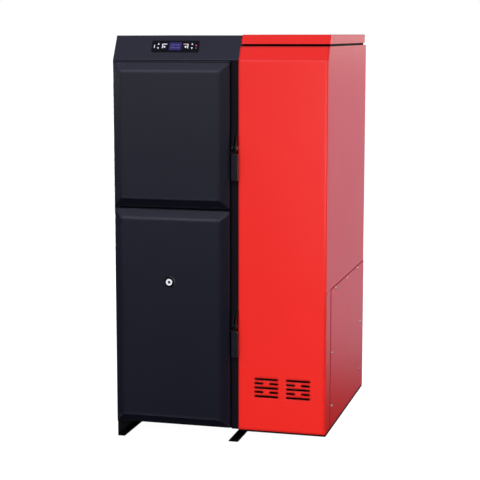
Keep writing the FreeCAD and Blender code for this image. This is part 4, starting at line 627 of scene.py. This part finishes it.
def solids_of(node):
    """The boxes round the separate solids of a node."""
    bm = bmesh.new()
    bm.from_mesh(nodes[node].data)
    bm.transform(nodes[node].matrix_world)
    bmesh.ops.remove_doubles(bm, verts=bm.verts, dist=WELD)
    boxes = []
    left = set(bm.verts)
    while left:
        reached = [left.pop()]
        for vert in reached:
            for edge in vert.link_edges:
                other = edge.other_vert(vert)
                if other in left:
                    left.remove(other)
                    reached.append(other)
        corners = list(zip(*(vert.co for vert in reached)))
        boxes.append((Vector(map(min, corners)), Vector(map(max, corners))))
    bm.free()
    return boxes


bm = bmesh.new()
for low, high in solids_of("service_cover_screws"):
    origin = Vector((high.x, (low.y + high.y) / 2, (low.z + high.z) / 2))
    prism(bm, cross(COVER_DRIVE_REACH, DRIVE_HALF), COVER_DRIVE_RISE, facing(origin, BACK, UP))
piece("cover_screw_drive_shade", bm, SHADOW, "boiler")

# Painted shade in the gap in front of the service cover and over it: a dark red strip sunk in the gap
COVER_GAP = 0.003
STRIP_SUNK = 0.0002
cover_low, cover_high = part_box("service_cover")
strip_rise = cover_high.x - cover_low.x - STRIP_SUNK
seam = facing(Vector((cover_low.x, 0, 0)), BACK, UP)
bm = bmesh.new()
prism(bm, bar(cover_low.y - COVER_GAP, cover_low.y, cover_low.z, cover_high.z + COVER_GAP), strip_rise, seam)
prism(bm, bar(cover_low.y, cover_high.y, cover_high.z, cover_high.z + COVER_GAP), strip_rise, seam)
piece("cover_gap_shade_strip", bm, COVER_GAP_SHADE, "boiler")

# Painted shade under the hopper's casing, and in the gap below the cover: a dark strip in the seal rubber
BASE_SHADE_DROP = 0.0055
BASE_SHADE_WIDTH = 0.0030
BASE_SHADE_PROUD = 0.0005
front_low, front_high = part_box("hopper_front_panel")
sunk = BASE_SHADE_WIDTH - BASE_SHADE_PROUD
along_front = facing(Vector((0, front_low.y + sunk, 0)), ACROSS, UP)
along_side = facing(Vector((front_high.x - sunk, 0, 0)), BACK, UP)
bm = bmesh.new()
prism(bm, bar(front_low.x, front_high.x, front_low.z - BASE_SHADE_DROP, front_low.z), BASE_SHADE_WIDTH, along_front)
prism(bm, bar(front_low.y, cover_high.y, front_low.z - BASE_SHADE_DROP, front_low.z), BASE_SHADE_WIDTH, along_side)
prism(bm, bar(cover_low.y, cover_high.y, front_low.z, cover_low.z), strip_rise, seam)
piece("casing_base_shade", bm, FINISHES["seal_rubber"], "boiler")

# Screws down both sides of the rear panel
REAR_SCREW_RADIUS = 0.0042
REAR_SCREW_HEIGHT = 0.0022
REAR_SCREW_INSET = 0.014
REAR_SCREW_ROWS = 7
REAR_DRIVE_REACH = 0.0018
REAR_DRIVE_RISE = 0.0002
# The drive's painted shade stands a little below the dome's top
REAR_DRIVE_SEAT = REAR_SCREW_HEIGHT * 0.93
rear_low, rear_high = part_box("rear_panel")
top_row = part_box("hopper_side_panel")[1].z - 2 * REAR_SCREW_INSET
low_row = rear_low.z + REAR_SCREW_INSET
places = []
for row in range(REAR_SCREW_ROWS):
    z = low_row + (top_row - low_row) * row / (REAR_SCREW_ROWS - 1)
    places += [(rear_low.x + REAR_SCREW_INSET, z), (rear_high.x - REAR_SCREW_INSET, z)]
heads = bmesh.new()
drive_shades = bmesh.new()
for x, z in places:
    dome(heads, REAR_SCREW_RADIUS, REAR_SCREW_HEIGHT, facing(Vector((x, rear_high.y, z)), -ACROSS, UP))
    tip = facing(Vector((x, rear_high.y + REAR_DRIVE_SEAT, z)), -ACROSS, UP)
    prism(drive_shades, cross(REAR_DRIVE_REACH, DRIVE_HALF), REAR_DRIVE_RISE, tip)
piece("rear_screws", heads, FINISHES["zinc_steel"], "boiler")
# Dark crosses on the heads: painted shade of their drives
piece("rear_screw_drive_shade", drive_shades, SHADOW, "boiler")


# Soft pieces

CORNER_TURNS = 4
SIDE_STEPS = 2


def loop_path(low, high, corner, step):
    """Points round a flat rectangle with round corners, with the outward direction at each, as pairs."""
    points = []
    corners = ((high[0] - corner, high[1] - corner, 0), (low[0] + corner, high[1] - corner, 90),
               (low[0] + corner, low[1] + corner, 180), (high[0] - corner, low[1] + corner, 270))
    turns = max(CORNER_TURNS, round(corner * math.pi / 2 / step))
    for index, (u, v, start) in enumerate(corners):
        for i in range(turns + 1):
            a = math.radians(start + 90 * i / turns)
            out = Vector((math.cos(a), math.sin(a)))
            points.append((Vector((u, v)) + out * corner, out))
        next_u, next_v, next_start = corners[(index + 1) % 4]
        out = Vector((math.cos(math.radians(next_start)), math.sin(math.radians(next_start))))
        here = points[-1][0]
        goal = Vector((next_u, next_v)) + out * corner
        steps = max(SIDE_STEPS, round((goal - here).length / step))
        for i in range(1, steps):
            points.append((here.lerp(goal, i / steps), out))
    return points


def swept_loop(name, rows, material, body, node):
    """A closed loop of rows of points, in place of a CAD node."""
    bm = bmesh.new()
    made_rows = [[bm.verts.new(point) for point in row] for row in rows]
    for near, far in zip(made_rows, made_rows[1:] + made_rows[:1]):
        for i in range(len(near)):
            j = (i + 1) % len(near)
            bm.faces.new((near[i], near[j], far[j], far[i]))
    made = piece(name, bm, material, body)
    smooth(made)
    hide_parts(node)


# The doors' ropes, laid in strands both ways
ROPE_SIDES = 20
ROPE_STRANDS = 4
ROPE_LAY = 0.022
ROPE_STEP = 0.0035
ROPE_CORNER = 0.020
ROPE_GROOVE = 0.10
for door in ("upper", "lower"):
    low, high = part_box(door + "_door_seal")
    radius = (high.y - low.y) / 2
    middle = (low.y + high.y) / 2
    path = loop_path((low.x + radius, low.z + radius), (high.x - radius, high.z - radius), ROPE_CORNER,
                     ROPE_STEP)
    laps = round(ROPE_STEP * len(path) / ROPE_LAY)
    rows = []
    for index, (point, out) in enumerate(path):
        turn = 2 * math.pi * laps * index / len(path)
        row = []
        for i in range(ROPE_SIDES):
            a = 2 * math.pi * i / ROPE_SIDES
            strand = ROPE_STRANDS * a / 2
            ridge = max(abs(math.cos(strand + turn)), abs(math.cos(strand - turn)))
            r = radius * (1 - ROPE_GROOVE + ROPE_GROOVE * ridge)
            flat = point + out * (r * math.cos(a))
            row.append(Vector((flat.x, middle + r * math.sin(a), flat.y)))
        rows.append(row)
    swept_loop(door + "_door_rope", rows, FINISHES["glass_rope"], door + "_door",
               door + "_door_seal")

# The lid's rubber: flat below, two soft lips above
SEAL_WIDTH = 0.009
SEAL_CORNER = 0.004
SEAL_STEP = 0.012
LIP_DIP = 0.12
LIP_BASE = 0.45
LIP_SQUARENESS = 6
LIP_STEPS = 12
low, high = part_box("lid_seal")
half = SEAL_WIDTH / 2
tall = high.z - low.z
across_seal = [(-1.0, 0.0), (1.0, 0.0)]
for i in range(LIP_STEPS + 1):
    u = 1 - 2 * i / LIP_STEPS
    rise = (1 - abs(u) ** LIP_SQUARENESS) * (1 - LIP_DIP * math.cos(math.pi * u) ** 2)
    across_seal.append((u, LIP_BASE + (1 - LIP_BASE) * rise))
path = loop_path((low.x + half, low.y + half), (high.x - half, high.y - half), SEAL_CORNER, SEAL_STEP)
rows = []
for point, out in path:
    row = []
    for u, v in across_seal:
        flat = point + out * (u * half)
        row.append(Vector((flat.x, flat.y, low.z + v * tall)))
    rows.append(row)
swept_loop("lid_rubber", rows, FINISHES["seal_rubber"], "boiler", "lid_seal")

# Wool boards with soft, uneven faces
WOOL_CELL = 0.012
WOOL_DIP = 0.0025
WOOL_HUMPS = 40
wool = nodes["insulation_slabs"].copy()
wool.data = nodes["insulation_slabs"].data.copy()
scene.collection.objects.link(wool)
remesh = wool.modifiers.new("wool", "REMESH")
remesh.voxel_size = WOOL_CELL
bpy.context.view_layer.update()
bm = bmesh.new()
bm.from_object(wool, bpy.context.evaluated_depsgraph_get())
bm.transform(wool.matrix_world)
bpy.data.objects.remove(wool)
bm.normal_update()
for vert, normal in [(vert, vert.normal.copy()) for vert in bm.verts]:
    vert.co -= normal * (WOOL_DIP * (0.5 + 0.5 * noise.noise(vert.co * WOOL_HUMPS)))
boards = piece("wool_boards", bm, FINISHES["mineral_wool"], "boiler")
smooth(boards)
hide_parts("insulation_slabs")


# Camera

LENS_PIXELS = 1400.0
FRAME_PIXELS = 480.0
SENSOR = 36.0
CAMERA_PLACE = (1.2616, -4.8954, 1.4043)
CAMERA_DIP = 8.398
CAMERA_TURN = 14.730
camera_data = bpy.data.cameras.new("camera")
camera_data.sensor_width = SENSOR
camera_data.lens = LENS_PIXELS / FRAME_PIXELS * SENSOR
camera = bpy.data.objects.new("camera", camera_data)
scene.collection.objects.link(camera)
camera.location = CAMERA_PLACE
camera.rotation_euler = Euler((math.radians(90 - CAMERA_DIP), 0, math.radians(CAMERA_TURN)))
scene.camera = camera

# White floor, kept out of bounced light and reflections
FLOOR = 400.0
FLOOR_DARK = (0.20, 0.20, 0.20)
FLOOR_LIGHT = (0.21, 0.21, 0.21)
FLOOR_GLOW = 0.97
floor_mesh = bpy.data.meshes.new("floor")
floor_corners = [(x, y, 0) for x, y in bar(-FLOOR, FLOOR, -FLOOR, FLOOR)]
floor_mesh.from_pydata(floor_corners, [], [(0, 1, 2, 3)])
floor = bpy.data.objects.new("floor", floor_mesh)
scene.collection.objects.link(floor)
floor_finish, floor_tree, floor_shader, floor_place = new_material("floor")
floor_clouds = noise_of(floor_tree, floor_place, scale=2.0)
feed(floor_shader, "Base Color", mixed(floor_tree, floor_clouds, FLOOR_DARK, FLOOR_LIGHT))
floor_shader.inputs["Roughness"].default_value = 0.9
floor_shader.inputs["Specular IOR Level"].default_value = 0.1
floor_shader.inputs["Emission Color"].default_value = (1, 1, 1, 1)
floor_shader.inputs["Emission Strength"].default_value = FLOOR_GLOW
floor_mesh.materials.append(floor_finish)
floor.visible_diffuse = False
floor.visible_glossy = False
floor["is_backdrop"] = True


# Sky

# Brightness by the angle above the horizon, before the object and behind it
BEFORE = ((-90, 0.01), (-16, 0.01), (-10, 0.10), (-4, 0.27), (4, 0.30), (16, 0.28), (22, 2.4), (36, 2.4),
          (42, 0.28), (55, 0.34), (75, 0.56), (90, 0.6))
BEHIND = ((-90, 0.01), (-15, 0.01), (-12.4, 0.42), (-10, 0.46), (4, 0.56), (30, 0.26), (55, 0.36), (75, 0.56),
          (90, 0.6))
# A white band that the camera sees above the floor
HORIZON = ((-90, 0), (-1, 0), (-0.5, 1), (1.7, 1), (2.3, 0), (90, 0))
COOL = (0.93, 0.94, 1.17)
PLAIN = (1, 1, 1)
# Sockets that a mix node has for colours
MIX_FIRST = 6
MIX_SECOND = 7
MIX_RESULT = 2
world = bpy.data.worlds.new("studio")
scene.world = world
world.use_nodes = True
studio = world.node_tree
background = studio.nodes["Background"]
direction = studio.nodes.new("ShaderNodeTexCoord").outputs["Generated"]
axes = studio.nodes.new("ShaderNodeSeparateXYZ")
studio.links.new(direction, axes.inputs["Vector"])


def sky_ramp(stops, tint):
    """A tinted ramp over the angle above the horizon."""
    rise = add(studio, "ShaderNodeMapRange")
    rise.inputs["From Min"].default_value = -1.0
    studio.links.new(axes.outputs["Z"], rise.inputs["Value"])
    ramp = add(studio, "ShaderNodeValToRGB")
    while len(ramp.color_ramp.elements) < len(stops):
        ramp.color_ramp.elements.new(0.5)
    for stop, (angle, grey) in zip(ramp.color_ramp.elements, stops):
        stop.position = (math.sin(math.radians(angle)) + 1) / 2
        stop.color = (*(grey * c for c in tint), 1)
    studio.links.new(rise.outputs["Result"], ramp.inputs["Fac"])
    return ramp.outputs["Color"]


def sky_mix(kind, factor, first, second):
    """Two colours of the sky put together, in full where there is no factor."""
    node = add(studio, "ShaderNodeMix", data_type="RGBA", blend_type=kind)
    if factor:
        studio.links.new(factor, node.inputs["Factor"])
    else:
        node.inputs["Factor"].default_value = 1.0
    studio.links.new(first, node.inputs[MIX_FIRST])
    studio.links.new(second, node.inputs[MIX_SECOND])
    return node.outputs[MIX_RESULT]


turned = spread(studio, axes.outputs["Y"], low=0.0, high=1.0, start=0.0, end=0.5)
aside = add(studio, "ShaderNodeMath", operation="ABSOLUTE")
studio.links.new(axes.outputs["X"], aside.inputs[0])
dim = spread(studio, aside.outputs["Value"], low=1.0, high=0.2, start=0.3, end=0.8)
sky = sky_mix("MIX", turned, sky_ramp(BEFORE, COOL), sky_ramp(BEHIND, COOL))
sky = sky_mix("MULTIPLY", None, sky, dim)
sky = sky_mix("LIGHTEN", None, sky, sky_ramp(HORIZON, PLAIN))
studio.links.new(sky, background.inputs["Color"])


# Lamps

def softbox(name, place, aim, width, height, power):
    """A rectangular area light aimed at a point."""
    data = bpy.data.lights.new(name, "AREA")
    data.shape = "RECTANGLE"
    data.size = width
    data.size_y = height
    data.energy = power
    made = bpy.data.objects.new(name, data)
    scene.collection.objects.link(made)
    made.location = place
    made.rotation_euler = (Vector(aim) - Vector(place)).to_track_quat("-Z", "Y").to_euler()
    return made


key_lamp = softbox("key", place=(1.7, -5.2, 0.7), aim=(0, 0, 0.7), width=3.0, height=1.3, power=190)
# The key is flagged off the dark finishes, which it would turn grey
flagged = [FINISHES[slot] for slot in ("anthracite_paint", "black_paint", "black_plastic", "seal_rubber")]
flagged.append(BENT_DOOR)
key_reach = bpy.data.collections.new("key_reach")
for thing in scene.objects:
    if thing.type == "MESH" and thing.data.materials and thing.data.materials[0] not in flagged:
        key_reach.objects.link(thing)
key_lamp.light_linking.receiver_collection = key_reach
softbox("side", place=(3.6, 1.4, 2.6), aim=(0.3, 0, 1.3), width=1.6, height=1.6, power=74)
softbox("rear", place=(-3.4, 4.8, 0.7), aim=(0, 0, 0.7), width=3.2, height=1.3, power=330)

scene.view_settings.view_transform = "Standard"
scene.view_settings.look = "None"

low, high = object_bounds()
